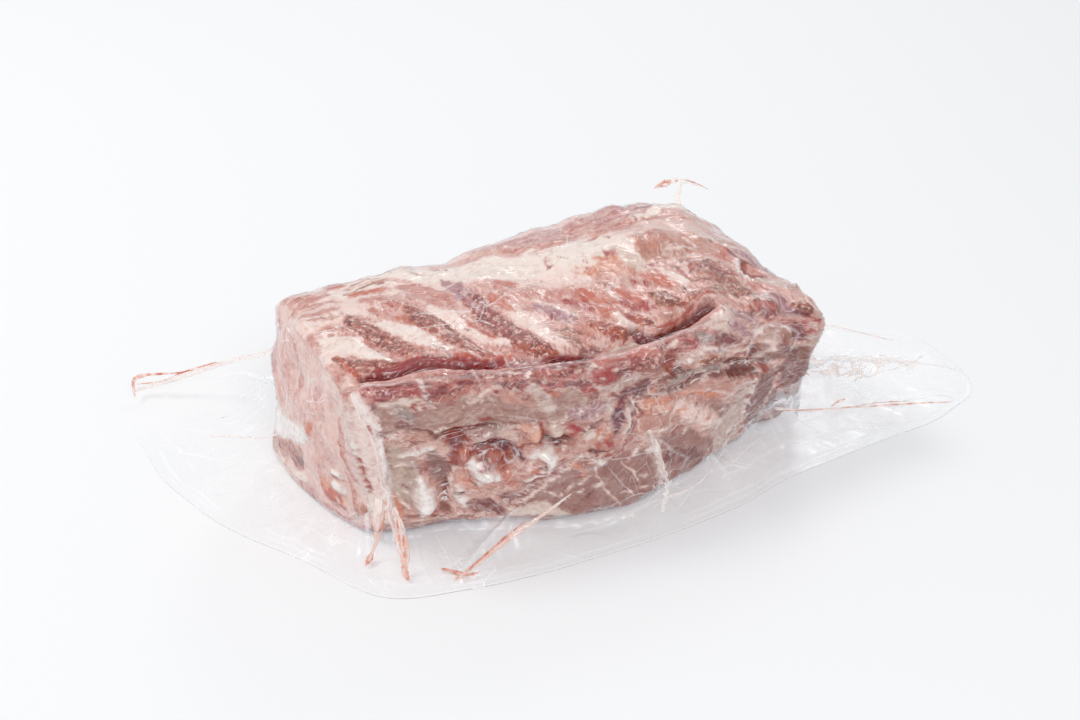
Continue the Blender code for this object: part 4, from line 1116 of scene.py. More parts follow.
# The main folds of the film on the block: height, then points of (x, distance round the block, half width).
filmFolds = [
    (2.6, (-109, -6, 1.2), (-104, -22, 1.8), (-101, -34, 1.6), (-99, -50, 1.8), (-98, -70, 1.4)),
    (1.6, (-104, -22, 1.2), (-92, -30, 1.2)),
    (1.2, (-108, 2, 1.2), (-80, 0, 1.2), (-50, -1, 1.2), (-20, -2, 1.2), (20, -2, 1.2), (56, 0, 1.2)),
    (1.4, (40, -16, 1.2), (56, -13, 1.5), (70, -15, 1.2)),
    (1.6, (80, -22, 1.2), (84, -8, 1.5), (96, -5, 1.5), (108, -14, 1.4), (106, -26, 1.2)),
    (1.4, (88, -2, 1.2), (92, 12, 1.5), (104, 20, 1.2)),
    (1.4, (97, 58, 1.2), (97, 44, 1.5), (92, 28, 1.2)),
    (1.2, (20, -26, 1.2), (40, -32, 1.4), (60, -40, 1.4), (76, -50, 1.2)),
    (1.0, (-30, -64, 1.2), (-6, -56, 1.4), (16, -48, 1.2)),
    (1.0, (-58, -78, 1.2), (-40, -64, 1.4), (-22, -54, 1.2)),
    (1.0, (44, -74, 1.2), (30, -58, 1.4), (18, -50, 1.2)),
    (1.4, (-86, -84, 1.2), (-84, -60, 1.5), (-88, -44, 1.2)),
    (1.0, (-60, 112, 1.2), (-56, 96, 1.4), (-40, 84, 1.2)),
    (1.0, (20, 112, 1.2), (24, 98, 1.4), (40, 88, 1.2)),
    (1.2, (70, 120, 1.2), (74, 100, 1.4), (90, 86, 1.2)),
    (1.2, (-112, 60, 1.2), (-96, 64, 1.4), (-84, 56, 1.2)),
]


def addRidge(rise, chart, points, height):
    low = np.min(points, axis=0)[:2] - 3
    high = np.max(points, axis=0)[:2] + 3
    near = np.flatnonzero(((chart > low) & (chart < high)).all(axis=1))
    depth = strokeDepth(chart[near], points) / max(point[2] for point in points)
    rise[near] = np.maximum(rise[near], height * np.clip(depth, 0, 1))


def makeFilmSkin(meatMesh):
    shell = bmesh.new()
    shell.from_mesh(meatMesh)
    every = dict(use_axis_x=True, use_axis_y=True, use_axis_z=True)
    for _ in range(film["tentRounds"]):
        bmesh.ops.smooth_vert(shell, verts=shell.verts, factor=0.5, **every)
    mesh = bpy.data.meshes.new("filmSkin")
    shell.to_mesh(mesh)
    shell.free()
    touching = coordsOf(meatMesh) / mm
    outward = normalsOf(mesh)
    tented = coordsOf(mesh) / mm
    gap = np.einsum("ij,ij->i", tented - touching, outward)
    gap = np.clip(gap, 0, film["deepest"]) + film["clearance"]

    chart = readChart(meatMesh)
    chart = chart + np.stack((noiseAt(touching, 12, 31), noiseAt(touching, 12, 35)), axis=1) * 1.6
    rise = np.zeros(len(touching))
    for height, *points in filmFolds:
        addRidge(rise, chart, points, height)
    chance = random.Random(film["seed"])
    for _ in range(film["creases"]):
        x, round_ = chance.uniform(-118, 122), chance.uniform(-88, 200)
        turn, length = chance.gauss(0.6, 0.8), chance.uniform(*film["creaseLength"])
        width, height = chance.uniform(*film["creaseWidth"]), chance.uniform(*film["creaseHeight"])
        bend = chance.uniform(-0.5, 0.5)
        half = length / 2
        middle = (x + math.cos(turn) * half, round_ + math.sin(turn) * half, width)
        far = (middle[0] + math.cos(turn + bend) * half, middle[1] + math.sin(turn + bend) * half, 0.5)
        addRidge(rise, chart, [(x, round_, 0.5), middle, far], height)
    rise *= 1 - film["flatter"] * smooth(chart[:, 1] / 10)
    placed = touching + outward * (gap + rise)[:, None]
    placed[:, 2] = np.maximum(placed[:, 2], film["lowest"])
    setCoords(mesh, placed * mm)
    saveValues(mesh, "fold", np.clip(rise / 1.5, 0, 1))
    slack = smooth((gap - film["clearance"]) / 1.6 - 0.15) * smooth((20 - chart[:, 1]) / 16) + 0.12
    saveValues(mesh, "slack", np.clip(slack, 0, 1))
    return mesh


def filmCrinkle():
    # thin sharp wrinkles at two sizes over soft facets, shared by every film material
    group = bpy.data.node_groups.new("filmCrinkle", "ShaderNodeTree")
    group.interface.new_socket("Vector", in_out="INPUT", socket_type="NodeSocketVector")
    for name in ("Height", "Haze", "Fans"):
        group.interface.new_socket(name, in_out="OUTPUT", socket_type="NodeSocketFloat")
    where = group.nodes.new("NodeGroupInput").outputs["Vector"]
    out = group.nodes.new("NodeGroupOutput")
    ridge = addCells(group, addStretch(group, where, (0.6, 1.5, 1), (0, 12, 24)), 31)
    ridge = addStep(group, ridge, 0, 0.012, 1, 0)
    thread = addCells(group, addStretch(group, where, (1.4, 0.7, 1), (8, 0, -30)), 15)
    patch = addPatches(group, where, 30, 0.48, 0.66, 2)
    thread = multiply(group, addStep(group, thread, 0, 0.016, 1, 0), patch)
    ripple = addNoise(group, addStretch(group, where, (0.1, 1.3, 0.6), (0, 0, 34)), 2.6, 1)
    ripple = addMath(group, "ABSOLUTE", addMath(group, "SUBTRACT", ripple, 0.5))
    fans = multiply(group, addStep(group, ripple, 0, 0.032, 1, 0), addPatches(group, where, 11, 0.44, 0.56))
    facet = addCells(group, where, 9, "F1")
    height = addMath(group, "MULTIPLY_ADD", thread, 0.45, multiply(group, ridge, 0.8))
    height = addMath(group, "MULTIPLY_ADD", facet, 0.8, height)
    height = addMath(group, "MULTIPLY_ADD", fans, 0.5, height)
    haze = multiply(group, addMath(group, "MAXIMUM", ridge, thread), patch)
    for value, name in ((height, "Height"), (haze, "Haze"), (fans, "Fans")):
        join(group, value, out.inputs[name])
    return group


def addWrinkles(tree, where, group):
    made = tree.nodes.new("ShaderNodeGroup")
    made.node_tree = group
    join(tree, where, made.inputs["Vector"])
    return made.outputs


def filmMaterial(name, group, crinkle=0.5, veil=0.003, whitening=0.3, roughness=0.12):
    # clear where it lies flat, white where it is creased with a faint painted glow there, and a mirror to a
    # low glance
    material, tree, shader, where = newMaterial(name)
    wrinkles = addWrinkles(tree, where, group)
    normal = addBump(tree, wrinkles["Height"], 1.0, crinkle)
    facing = tree.nodes.new("ShaderNodeLayerWeight")
    facing.inputs["Blend"].default_value = 0.5
    join(tree, normal, facing.inputs["Normal"])
    mirror = addMath(tree, "POWER", facing.outputs["Facing"], 5.0)
    mirror = addMath(tree, "MULTIPLY_ADD", mirror, 0.9, film["mirror"])
    white = addMath(tree, "MULTIPLY_ADD", wrinkles["Haze"], whitening, veil)
    white = addMath(tree, "MULTIPLY_ADD", readAttribute(tree, "fold"), whitening * 0.8, white)
    fanned = multiply(tree, wrinkles["Fans"], readAttribute(tree, "slack"))
    white = addMath(tree, "MULTIPLY_ADD", fanned, whitening * 1.9, white)
    shown = addMath(tree, "SUBTRACT", 1.0, readAttribute(tree, "fade"))
    join(tree, multiply(tree, addMath(tree, "ADD", mirror, white), shown), shader.inputs["Alpha"])
    # where the film is creased white it turns from mirror to white and is given a painted glow, so the
    # creases show brighter than the white floor
    whiteAndGlowing = addStep(tree, white, 0.01, 0.1)
    join(tree, addMath(tree, "SUBTRACT", 1.0, whiteAndGlowing), shader.inputs["Metallic"])
    glow = addMix(tree, whiteAndGlowing, (0, 0, 0, 1), (0.96, 0.98, 1.03, 1))
    join(tree, glow, shader.inputs["Emission Color"])
    shader.inputs["Emission Strength"].default_value = 0.22
    material.cycles.emission_sampling = "NONE"
    join(tree, normal, shader.inputs["Normal"])
    rough = addStep(tree, addNoise(tree, where, 12, 2), 0.4, 0.7, roughness, roughness + 0.12)
    join(tree, rough, shader.inputs["Roughness"])
    shader.inputs["Base Color"].default_value = colourOf(244, 247, 250)
    return material


def keepClear(piece):
    # so thin a film hardly shades or mirrors in the meat it touches
    piece.visible_shadow = False
    piece.visible_diffuse = False
    piece.visible_glossy = False


crinkle = filmCrinkle()
skin = addPiece("filmSkin", makeFilmSkin(meat.data), filmMaterial("clearFilm", crinkle), "clear_film")
keepClear(skin)
print("film on the meat done")


margin = dict(
    outline=(  # edge of the sealed bag, seen from above
        (-178, 118), (-184, 60), (-170, 6), (-140, -44), (-118, -80), (-84, -92), (-44, -98), (4, -99),
        (52, -97), (100, -87), (160, -83), (196, -78), (222, -56), (216, 30), (204, 116), (176, 136),
        (100, 128), (60, 124), (-20, 125), (-80, 126), (-140, 127),
    ),
    around=760, rows=52,
    attach=(5, 13),  # lowest and highest height at which the film leaves the meat
    reach=(9, 24),  # how far out it comes down to the table
    edge=1.0,
    seals=((3.5, 0.35), (6.5, 0.3), (17, 0.4)),  # distance in from the edge and height of each sealed line
    lower=0.25,  # height of the lower sheet
    overlap=1.2,  # how far the film runs in under the film on the meat
    bunch=(158, -24), bunchSize=(62, 34),  # where the slack film bunches up at the right
)
# Where the film stands up in a tent between the meat and the table: its width, then points of (x, y, z).
tents = [
    (8, (-114, 46, 40), (-120, 62, 30), (-126, 84, 20), (-142, 100, 12), (-172, 114, 5)),
    (8, (-102, -48, 30), (-102, -58, 14), (-103, -73, 5)),
    (6, (-106, -34, 22), (-112, -50, 9), (-116, -60, 4)),
    (6, (-42, -66, 16), (-60, -74, 10), (-82, -85, 4)),
    (9, (106, -40, 40), (132, -44, 28), (156, -38, 19), (186, -44, 12), (212, -56, 6)),
    (8, (112, -10, 40), (134, -4, 22), (168, 2, 12), (200, -20, 6)),
    (7, (100, -50, 14), (120, -54, 8), (160, -65, 6), (196, -74, 4)),
    (8, (60, -64, 12), (62, -76, 6), (60, -88, 3)),
    (8, (110, 44, 36), (128, 70, 18), (160, 104, 8), (190, 126, 4)),
    (8, (20, 60, 20), (24, 84, 9), (20, 112, 4)),
    (8, (-60, 56, 18), (-66, 84, 8), (-70, 116, 4)),
]


def closedAlong(points, share):
    padded = [points[-1], *points, points[0], points[1]]
    return along(padded, (1 + np.mod(share, 1) * len(points)) / (len(points) + 2))


def level(places):
    # (x, y) places as points on the table
    return np.c_[places, np.zeros(len(places))]


def gapToLine(places, line):
    # distance of each (x, y) to a line of (x, y, z) points, and the line's height there
    nearest = np.full(len(places), 1e6)
    height = np.zeros(len(places))
    for start, end in zip(np.array(line[:-1], float), np.array(line[1:], float)):
        run = end[:2] - start[:2]
        share = np.clip(((places - start[:2]) @ run) / (run @ run), 0, 1)
        gap = np.hypot(*(places - start[:2] - share[:, None] * run).T)
        closer = gap < nearest
        nearest = np.where(closer, gap, nearest)
        height = np.where(closer, start[2] + share * (end[2] - start[2]), height)
    return nearest, height


def sailHeight(places, width, line, power):
    # how high a tent holds the film at each place, and how far the place is from its ridge
    away, height = gapToLine(places, line)
    return height * np.clip(1 - away / (width + 0.8 * height), 0, 1) ** power, away, height


def hitSkin(skinTree, outer, heights):
    # where a level line from each outer point towards the middle of the block meets the film on the meat
    hits = []
    for (x, y), z in zip(outer.tolist(), heights.tolist()):
        middle = Vector((min(max(x, -84), 84), 0 if y < 0 else 8, z)) * mm
        start = Vector((x, y, z)) * mm
        hit = skinTree.ray_cast(start, (middle - start).normalized())[0]
        hits.append(hit / mm if hit else middle / mm)
    return np.array([tuple(hit) for hit in hits])


def startMargin():
    # a grid rolled into a closed band: for each corner its turn round the bag, its share of the way
    # out to the edge, and whether it is on the upper sheet
    count, rows = margin["around"], margin["rows"]
    band = bmesh.new()
    bmesh.ops.create_grid(band, x_segments=count, y_segments=2 * rows + 2, size=0.5)
    mesh = bpy.data.meshes.new("filmMargin")
    band.to_mesh(mesh)
    band.free()
    cell = coordsOf(mesh) + 0.5
    turn = np.mod(np.round(cell[:, 0] * count).astype(int), count)
    row = np.mod(np.round(cell[:, 1] * (2 * rows + 2)).astype(int), 2 * rows + 2)
    top = row <= rows
    return mesh, turn, np.clip(np.where(top, row, 2 * rows + 1 - row) / rows, 0, 1) ** 1.35, top


def closeMargin(mesh):
    band = bmesh.new()
    band.from_mesh(mesh)
    bmesh.ops.remove_doubles(band, verts=band.verts, dist=0.001 * mm)
    bmesh.ops.recalc_face_normals(band, faces=band.faces)
    band.to_mesh(mesh)
    band.free()


def marginEdges(skinTree):
    # the edge of the bag, where the film leaves the meat, and how high it is there
    share = np.arange(margin["around"]) / margin["around"]
    outer = closedAlong([(x, y, 0) for x, y in margin["outline"]], share)[:, :2]
    outer += np.stack([noiseAt(level(outer), 26, shift) for shift in (3, 8)], axis=1)
    low, high = margin["attach"]
    attach = low + (high - low) * smooth(noiseAt(level(outer), 30, 5) + 0.5)
    inner = hitSkin(skinTree, outer, attach)[:, :2]
    for width, *line in tents:
        attach = np.maximum(attach, sailHeight(inner, width, line, 1.3)[0])
    inner = hitSkin(skinTree, outer, attach)[:, :2]
    inward = (inner - outer) / np.linalg.norm(inner - outer, axis=1)[:, None]
    return outer, inner + inward * margin["overlap"], attach


def makeMargin(skinTree):
    mesh, turn, out, top = startMargin()
    outer, inner, attach = marginEdges(skinTree)
    place = inner[turn] + (outer[turn] - inner[turn]) * out[:, None]
    flat = level(place)
    gap = np.linalg.norm(place - inner[turn], axis=1)
    toEdge = np.linalg.norm(place - outer[turn], axis=1)
    nearest, farthest = margin["reach"]
    reach = nearest + (farthest - nearest) * smooth(noiseAt(flat, 34, 9) + 0.5)
    z = margin["edge"] + (attach[turn] - margin["edge"]) * np.clip(1 - gap / reach, 0, 1) ** 2.2
    fold = np.zeros(len(z))
    for width, *line in tents:
        sail, away, height = sailHeight(place, width, line, 1.7)
        fold = np.maximum(fold, np.clip(1 - away / 1.6, 0, 1) * np.clip(height / 10, 0, 1))
        z = np.maximum(z, sail)
    arc = turn / margin["around"] * 1000
    settled = smooth(gap / 14) * smooth(toEdge / 9)
    radial = creaseAt(np.stack((arc / 11, gap / 70, arc * 0), axis=1), 1, 4, 5)
    slack = creaseAt(flat, 30, 6, 5) * 1.6 + radial * 1.7 + (noiseAt(flat, 20, 2) + 0.6) * 1.3
    (x, y), (long, wide) = margin["bunch"], margin["bunchSize"]
    bunched = np.clip(1 - np.hypot((place[:, 0] - x) / long, (place[:, 1] - y) / wide), 0, 1)
    slack += bunched * (creaseAt(flat, 9, 7, 4) * 4.5 + creaseAt(flat, 5, 12, 4) * 2)
    z = z + slack * settled
    fold = np.maximum(fold, bunched * creaseAt(flat, 9, 7, 9) * 0.4)
    fold = np.maximum(fold, radial**4 * settled * 0.35)
    for distance, height in margin["seals"]:
        line = np.exp(-(((toEdge - distance) / 0.7) ** 2)) * smooth(noiseAt(flat, 40, distance) * 2 + 0.7)
        z = z + line * height
        fold = np.maximum(fold, line * 0.5)
    fold = np.maximum(fold, np.clip(1 - toEdge / 0.9, 0, 1) * 0.8 * smooth((40 - place[:, 1]) / 80))
    setCoords(mesh, np.c_[place, np.where(top, z, margin["lower"])] * mm)
    saveValues(mesh, "fold", np.where(top, fold, 0))
    behind = smooth((place[:, 1] + place[:, 0] * 0.25) / 60) * smooth(1.25 - toEdge / 60)
    saveValues(mesh, "fade", np.minimum(behind * 1.1, 1))
    closeMargin(mesh)
    return mesh


def treeOf(mesh):
    shape = bmesh.new()
    shape.from_mesh(mesh)
    tree = BVHTree.FromBMesh(shape)
    shape.free()
    return tree


marginFilm = filmMaterial("marginFilm", crinkle, 0.13, veil=0.002, roughness=0.24)
sheet = addPiece("filmMargin", makeMargin(treeOf(skin.data)), marginFilm, "clear_film")
keepClear(sheet)
print("film margin done")


# Pinched folds of film that stand up: how far they lean out of the level in degrees, how wavy they are,
# then (x, y, z, half width).
pleats = [
    (30, 0.3, (-112, -43, 87, 2), (-110, -49, 78, 4), (-107, -52, 62, 5), (-105, -54, 45, 5.4),
     (-103, -56, 28, 5), (-101, -62, 13, 3), (-103, -71, 4, 0.8)),
    (60, 0.8, (-105, -49, 30, 1.6), (-107, -50, 20, 2.2), (-110, -54, 9, 1), (-115, -58, 3, 0.6)),
    (10, 0.8, (-100, -54, 26, 1.4), (-99, -60, 15, 2), (-99, -66, 8, 1), (-103, -73, 3, 0.6)),
    (50, 0.6, (-22, -78, 24, 0.3), (-36, -79, 18, 0.8), (-50, -79, 12, 1.2), (-66, -82, 7, 1.1),
     (-82, -86, 3, 0.6)),
    (80, 0.7, (-112, 42, 64, 0.6), (-120, 62, 45, 1), (-126, 84, 30, 1.2), (-142, 100, 18, 1.4),
     (-160, 108, 11, 1.4), (-176, 116, 5, 1)),
    (60, 1.2, (108, -40, 40, 0.6), (132, -44, 29, 1.2), (156, -38, 20, 1.6), (186, -44, 13, 1.4),
     (214, -57, 7, 0.6)),
    (70, 1.0, (112, -10, 40, 0.5), (134, -4, 23, 0.9), (168, 2, 13, 1), (200, -20, 7, 0.6)),
    (60, 0.9, (20, -74, 44, 1), (23, -76, 34, 2.2), (25, -78, 24, 2.8), (27, -80, 15, 2.4),
     (26, -82, 8, 1.8), (22, -86, 3, 1)),
    (70, 0.9, (28, -82, 7, 0.8), (38, -81, 6, 1.2), (48, -77, 5, 0.9), (60, -70, 6, 0.8),
     (72, -62, 9, 0.6)),
    (60, 0.9, (1, -82, 4, 0.6), (5, -84, 5, 1.6), (9, -83, 3, 1.4), (12, -82, 4, 0.6)),
    (70, 0.5, (-124, 34, 16, 0.5), (-132, 44, 9, 0.6), (-142, 56, 5, 0.6), (-152, 64, 3, 0.4)),
    (75, 0.5, (100, -50, 15, 0.8), (120, -54, 9, 1), (141, -59, 7, 1.2), (161, -65, 6, 1.2),
     (182, -71, 5, 1), (198, -75, 3, 0.6)),
]
# The pinched corner of the bag that stands up behind the meat: a stem and a bar across its top.
ear = [
    (60, 0.7, (94, 30, 62, 5), (98, 38, 72, 3.6), (104, 50, 79, 2.6), (110, 59, 81, 3), (114, 62, 84, 2.2)),
    (12, 0.7, (99, 66, 81, 0.5), (104, 64, 84, 2.8), (111, 62, 85, 3.2), (118, 60, 83, 2.4),
     (126, 56, 79, 0.4)),
    (75, 0.5, (100, 46, 74, 0.8), (106, 52, 79, 2), (112, 60, 83, 1.2)),
]
crumple = dict(
    count=46, length=(7, 20), half=(0.7, 2.0), wavy=1.6, seed=5,
    near=(116, -24, 24), far=(200, -40, 4),  # where the tucks start, high beside the meat, and end
)


def crumplePleats():
    # short loose tucks where the slack film bunches up at the right
    chance = random.Random(crumple["seed"])
    (left, back, high), (right, front, low) = crumple["near"], crumple["far"]
    tucks = []
    for _ in range(crumple["count"]):
        share = chance.uniform(0, 1) ** 1.3
        x = left + share * (right - left) + chance.gauss(0, 3)
        y = back + share * (front - back) + chance.gauss(0, 8 * (1 - share) + 2)
        z = (high - low) * (1 - share) ** 1.6 + low + chance.uniform(0, 3)
        turn, length = chance.gauss(-0.3, 0.9), chance.uniform(*crumple["length"])
        across, down = math.cos(turn) * length / 2, math.sin(turn) * length / 2
        half = chance.uniform(*crumple["half"])
        ends = ((x - across, y - down, z - 1.5, 0.3), (x, y, z, half), (x + across, y + down, z - 1.5, 0.3))
        tucks.append((chance.uniform(20, 85), crumple["wavy"], *ends))
    return tucks


pleatLook = dict(
    thickness=0.25,
    cloudy=(0.22, 0.75),  # how milky its thinnest and its thickest streaks are
    milky=(244, 232, 228), stained=(230, 162, 134),
    # glow: strength of the painted glow on the folds
    glow=0.16, roughness=0.16,
)


def makePleats():
    strips = bmesh.new()
    weave = strips.verts.layers.float_vector.new("weave")
    for number, (lean, wavy, *points) in enumerate(pleats + ear + crumplePleats()):
        line = along(points, np.linspace(0, 1, 12 * len(points)))
        fresh = bmesh.ops.create_grid(strips, x_segments=len(line) - 1, y_segments=6, size=1)["verts"]
        for vert in fresh:
            at = int(round((vert.co.x + 1) / 2 * (len(line) - 1)))
            vert[weave] = Vector((at * 1.4 + number * 40, vert.co.y * 4, 0))
            x, y, z, half = line[at]
            ahead = Vector(line[min(at + 1, len(line) - 1)][:3] - line[max(at - 1, 0)][:3]).normalized()
            level = ahead.cross(Vector((0, 0, 1))).normalized()
            across = level * math.cos(math.radians(lean)) + level.cross(ahead) * math.sin(math.radians(lean))
            side = vert.co.y
            wave = noise.noise((at * 0.23, side * 0.8, number * 7.3)) * wavy * half * 0.7
            frill = 1 + 0.35 * noise.noise((at * 0.4, number * 3.1, side))
            place = Vector((x, y, z)) + across * side * half * frill + across.cross(ahead) * wave
            place.z = max(place.z, 0.5)
            vert.co = place * mm
    bmesh.ops.solidify(strips, geom=strips.faces, thickness=pleatLook["thickness"] * mm)
    bmesh.ops.recalc_face_normals(strips, faces=strips.faces)
    mesh = bpy.data.meshes.new("filmPleats")
    strips.to_mesh(mesh)
    strips.free()
    coords = coordsOf(mesh) / mm
    x, y, z = coords.T
    stain = smooth((34 - z) / 30 + 0.4 * noiseAt(coords, 7, 3))
    stain = stain * smooth((-10 - x) / 20) * smooth((-20 - y) / 20)  # only low down at the front left
    saveValues(mesh, "stain", stain)
    return mesh


def pleatMaterial(group):
    # film doubled over on itself, so it looks milky, and stained where the juice has run down it, with a
    # faint painted glow that keeps it light
    material, tree, shader, where = newMaterial("pleatFilm")
    wrinkles = addWrinkles(tree, where, group)
    lengthwise = addStretch(tree, readAttribute(tree, "weave", "Vector"), (0.12, 1, 1))
    streaks = addNoise(tree, lengthwise, 1600, 3, 0.6)
    stain = multiply(tree, readAttribute(tree, "stain"), addStep(tree, streaks, 0.36, 0.6))
    milky, stained = colourOf(*pleatLook["milky"]), colourOf(*pleatLook["stained"])
    join(tree, addMix(tree, stain, milky, stained), shader.inputs["Base Color"])
    cloudy = addStep(tree, streaks, 0.34, 0.6, *pleatLook["cloudy"])
    join(tree, addMath(tree, "MULTIPLY_ADD", stain, 0.3, cloudy), shader.inputs["Alpha"])
    height = addMath(tree, "ADD", streaks, wrinkles["Height"])
    join(tree, addBump(tree, height, 1.2, 0.6), shader.inputs["Normal"])
    shader.inputs["Roughness"].default_value = pleatLook["roughness"]
    shader.inputs["Coat Weight"].default_value = 0.5
    # a faint painted glow that keeps the milky folds light against the floor
    shader.inputs["Emission Color"].default_value = (1, 0.97, 0.94, 1)
    shader.inputs["Emission Strength"].default_value = pleatLook["glow"]
    material.cycles.emission_sampling = "NONE"
    return material


folds = addPiece("filmPleats", makePleats(), pleatMaterial(crinkle), "clear_film")
keepClear(folds)
print("pleats done")


# Juice caught in the pinched film: (x, y, z, thickness) along each thread.
juiceThreads = [
    ((99, 66, 81.6, 0.3), (102, 65, 83, 1.4), (105.4, 64, 84, 1.9), (108, 63, 84.6, 0.7),
     (111, 62, 85, 0.2)),
    ((114, 61, 85.4, 0.1), (119, 59.4, 83.4, 0.25), (126, 56, 79.4, 0.12)),
    ((97, 38, 71, 0.2), (103, 48, 78, 0.45), (110, 58, 81.6, 0.3)),
    ((-101, -60, 24, 0.3), (-102, -65, 13, 0.6), (-102.5, -69, 6, 0.9), (-103, -72, 2.6, 1.9),
     (-103, -76, 1.4, 0.3)),
    ((-99, -62, 16, 0.3), (-101, -67, 8, 0.5), (-102, -71, 3, 0.7)),
    ((-103, -50, 22, 0.3), (-106, -52, 12, 0.6), (-111, -54, 5, 0.7), (-114, -56, 2.4, 1.6),
     (-117, -58.6, 1.5, 0.3)),
    ((-46, -79, 17, 0.3), (-58, -80.5, 12, 0.5), (-70, -83, 7, 0.5), (-80, -85, 3, 0.8),
     (-85, -86, 2, 0.4)),
    ((-72, -86, 2, 0.3), (-79, -85, 2.4, 0.9), (-85, -78, 2, 0.8), (-87, -76, 1.6, 0.3)),
    ((-177, 112, 4, 0.3), (-175, 119, 9, 1.1), (-168, 118, 11, 0.9), (-156, 112, 12, 0.4),
     (-146, 106, 15, 0.3)),
    ((-174, 118, 7, 0.3), (-162, 112, 9, 0.5), (-150, 108, 14, 0.5), (-138, 101, 19, 0.8),
     (-134, 98, 21, 0.3)),
    ((104, -52, 13, 0.1), (120, -54.5, 9.6, 0.2), (141, -59.5, 7.6, 0.25), (161, -65.5, 6.6, 0.3),
     (182, -71.5, 5.4, 0.25), (196, -75, 3.4, 0.1)),
    ((140, -60, 8, 0.1), (152, -61, 7, 0.2), (166, -65, 7, 0.25), (176, -68, 6, 0.1)),
    ((112, -26, 30, 0.2), (118, -30, 24, 0.6), (124, -30, 20, 0.3)),
    ((126, -36, 22, 0.2), (130, -38, 20, 0.5), (133, -40, 18, 0.2)),
    ((140, -52, 4, 0.2), (146, -50, 4, 0.6), (150, -50, 4, 0.2)),
]


juiceLook = dict(
    thin=(246, 196, 170), thick=(214, 112, 86),
    cover=(0.25, 0.68),  # how much it hides where it is thin and where it is thick
    uneven=0.4,  # how much each thread swells and narrows
    # glow: strength of a faint painted glow on the juice
    glow=0.06, roughness=0.15,
)


def makeThreads(name, threads):
    curve = bpy.data.curves.new(name, "CURVE")
    curve.dimensions = "3D"
    curve.bevel_depth = mm
    curve.bevel_resolution = 3
    curve.use_fill_caps = True
    for points in threads:
        line = along(points, np.linspace(0, 1, 8 * len(points)))
        spline = curve.splines.new("POLY")
        spline.points.add(len(line) - 1)
        for at, (x, y, z, thick) in enumerate(line):
            spline.points[at].co = (x * mm, y * mm, z * mm, 1)
            swelling = juiceLook["uneven"] * noise.noise((at * 0.5, x * 0.2, y * 0.2))
            spline.points[at].radius = thick * (1 + swelling)
    holder = bpy.data.objects.new(name, curve)
    bpy.context.scene.collection.objects.link(holder)
    bpy.context.view_layer.update()
    graph = bpy.context.evaluated_depsgraph_get()
    mesh = bpy.data.meshes.new_from_object(holder.evaluated_get(graph))
    bpy.data.objects.remove(holder)
    return mesh


def juiceMaterial():
    material, tree, shader, where = newMaterial("meatJuice")
    thick = addPatches(tree, where, 4, 0.35, 0.65, 3)
    colour = addMix(tree, thick, colourOf(*juiceLook["thin"]), colourOf(*juiceLook["thick"]))
    join(tree, colour, shader.inputs["Base Color"])
    join(tree, addStep(tree, thick, 0, 1, *juiceLook["cover"]), shader.inputs["Alpha"])
    # a faint painted glow in the juice's own colour
    shader.inputs["Emission Color"].default_value = (1, 0.5, 0.36, 1)
    shader.inputs["Emission Strength"].default_value = juiceLook["glow"]
    material.cycles.emission_sampling = "NONE"
    shader.inputs["Roughness"].default_value = juiceLook["roughness"]
    shader.inputs["Subsurface Weight"].default_value = 0.1
    shader.inputs["Subsurface Scale"].default_value = mm
    return material


juice = addPiece("juiceThreads", makeThreads("juiceThreads", juiceThreads), juiceMaterial(), "meat_juice")
print("juice done")


studio = dict(  # light powers are in watts, and lengths in metres
    floorColour=(219, 218, 217), floorGlow=0.23, floorSize=6,
    keyPower=10, keySize=0.45, keyFrom=(-0.85, 0.75, 1.35),
    sidePower=1.6, sideSize=0.3, sideFrom=(0.75, 0.9, 0.9),
    frontPower=7.5, frontSize=0.6, frontFrom=(-0.2, -1.15, 1.25),
    world=0.555,
    glossyWorld=0.76,  # what the film mirrors
    lens=58.333,
    cameraTurn=-26, cameraRise=35, cameraAway=0.86, cameraLift=0.002457, aim=(0, 0, 0.04),
)


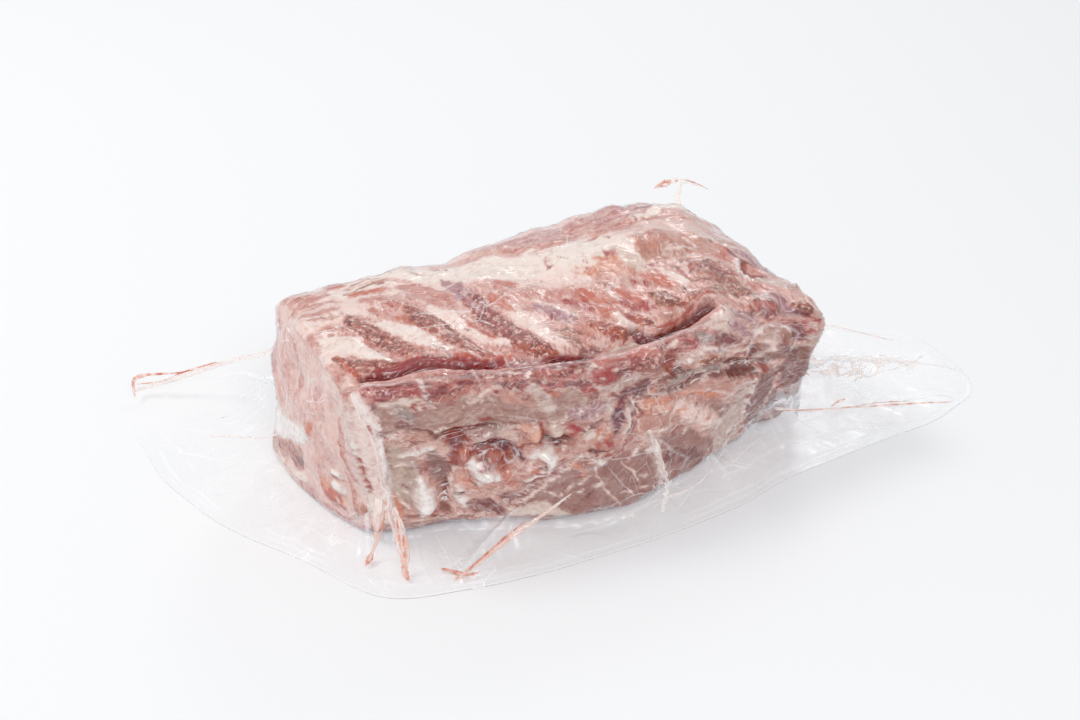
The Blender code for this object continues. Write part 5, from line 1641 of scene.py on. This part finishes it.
def addLight(name, power, size, place):
    lamp = bpy.data.lights.new(name, "AREA")
    lamp.energy = power
    lamp.size = size
    light = bpy.data.objects.new(name, lamp)
    light.location = place
    light.visible_glossy = name != "keyLight"
    light.rotation_euler = Vector(place).to_track_quat("Z", "Y").to_euler()
    bpy.context.scene.collection.objects.link(light)


def makeStudio():
    ground = bmesh.new()
    bmesh.ops.create_grid(ground, x_segments=1, y_segments=1, size=studio["floorSize"])
    bmesh.ops.translate(ground, verts=ground.verts, vec=(0, 0, -0.0002))
    mesh = bpy.data.meshes.new("floor")
    ground.to_mesh(mesh)
    ground.free()
    material, tree, shader, where = newMaterial("paleFloor")
    shader.inputs["Base Color"].default_value = colourOf(*studio["floorColour"])
    shader.inputs["Roughness"].default_value = 0.7
    shader.inputs["Emission Color"].default_value = (0.93, 1.0, 1.08, 1)
    shader.inputs["Emission Strength"].default_value = studio["floorGlow"]
    addPiece("floor", mesh, material)
    for name in ("key", "side", "front"):
        addLight(name + "Light", studio[name + "Power"], studio[name + "Size"], studio[name + "From"])
    world = bpy.data.worlds.new("softRoom")
    world.use_nodes = True
    tree = world.node_tree
    background = tree.nodes["Background"]
    background.inputs["Color"].default_value = (0.97, 0.985, 1, 1)
    mirrored = tree.nodes.new("ShaderNodeLightPath").outputs["Is Glossy Ray"]
    brighter = studio["glossyWorld"] - studio["world"]
    glow = addMath(tree, "MULTIPLY_ADD", mirrored, brighter, studio["world"])
    join(tree, glow, background.inputs["Strength"])
    bpy.context.scene.world = world
    bpy.context.scene.view_settings.view_transform = "Standard"


def makeCamera():
    turn, rise = math.radians(studio["cameraTurn"]), math.radians(studio["cameraRise"])
    right = Vector((math.cos(turn), math.sin(turn), 0))
    back = Vector((math.sin(turn) * math.cos(rise), -math.cos(turn) * math.cos(rise), math.sin(rise)))
    up = back.cross(right)
    camera = bpy.data.objects.new("camera", bpy.data.cameras.new("camera"))
    camera.data.lens = studio["lens"]
    camera.data.sensor_width = 36
    camera.data.clip_start = 0.01
    place = Vector(studio["aim"]) + back * studio["cameraAway"] + up * studio["cameraLift"]
    camera.matrix_world = Matrix.Translation(place) @ Matrix((right, up, back)).transposed().to_4x4()
    bpy.context.scene.collection.objects.link(camera)
    bpy.context.scene.camera = camera


makeStudio()
makeCamera()
print("studio done")
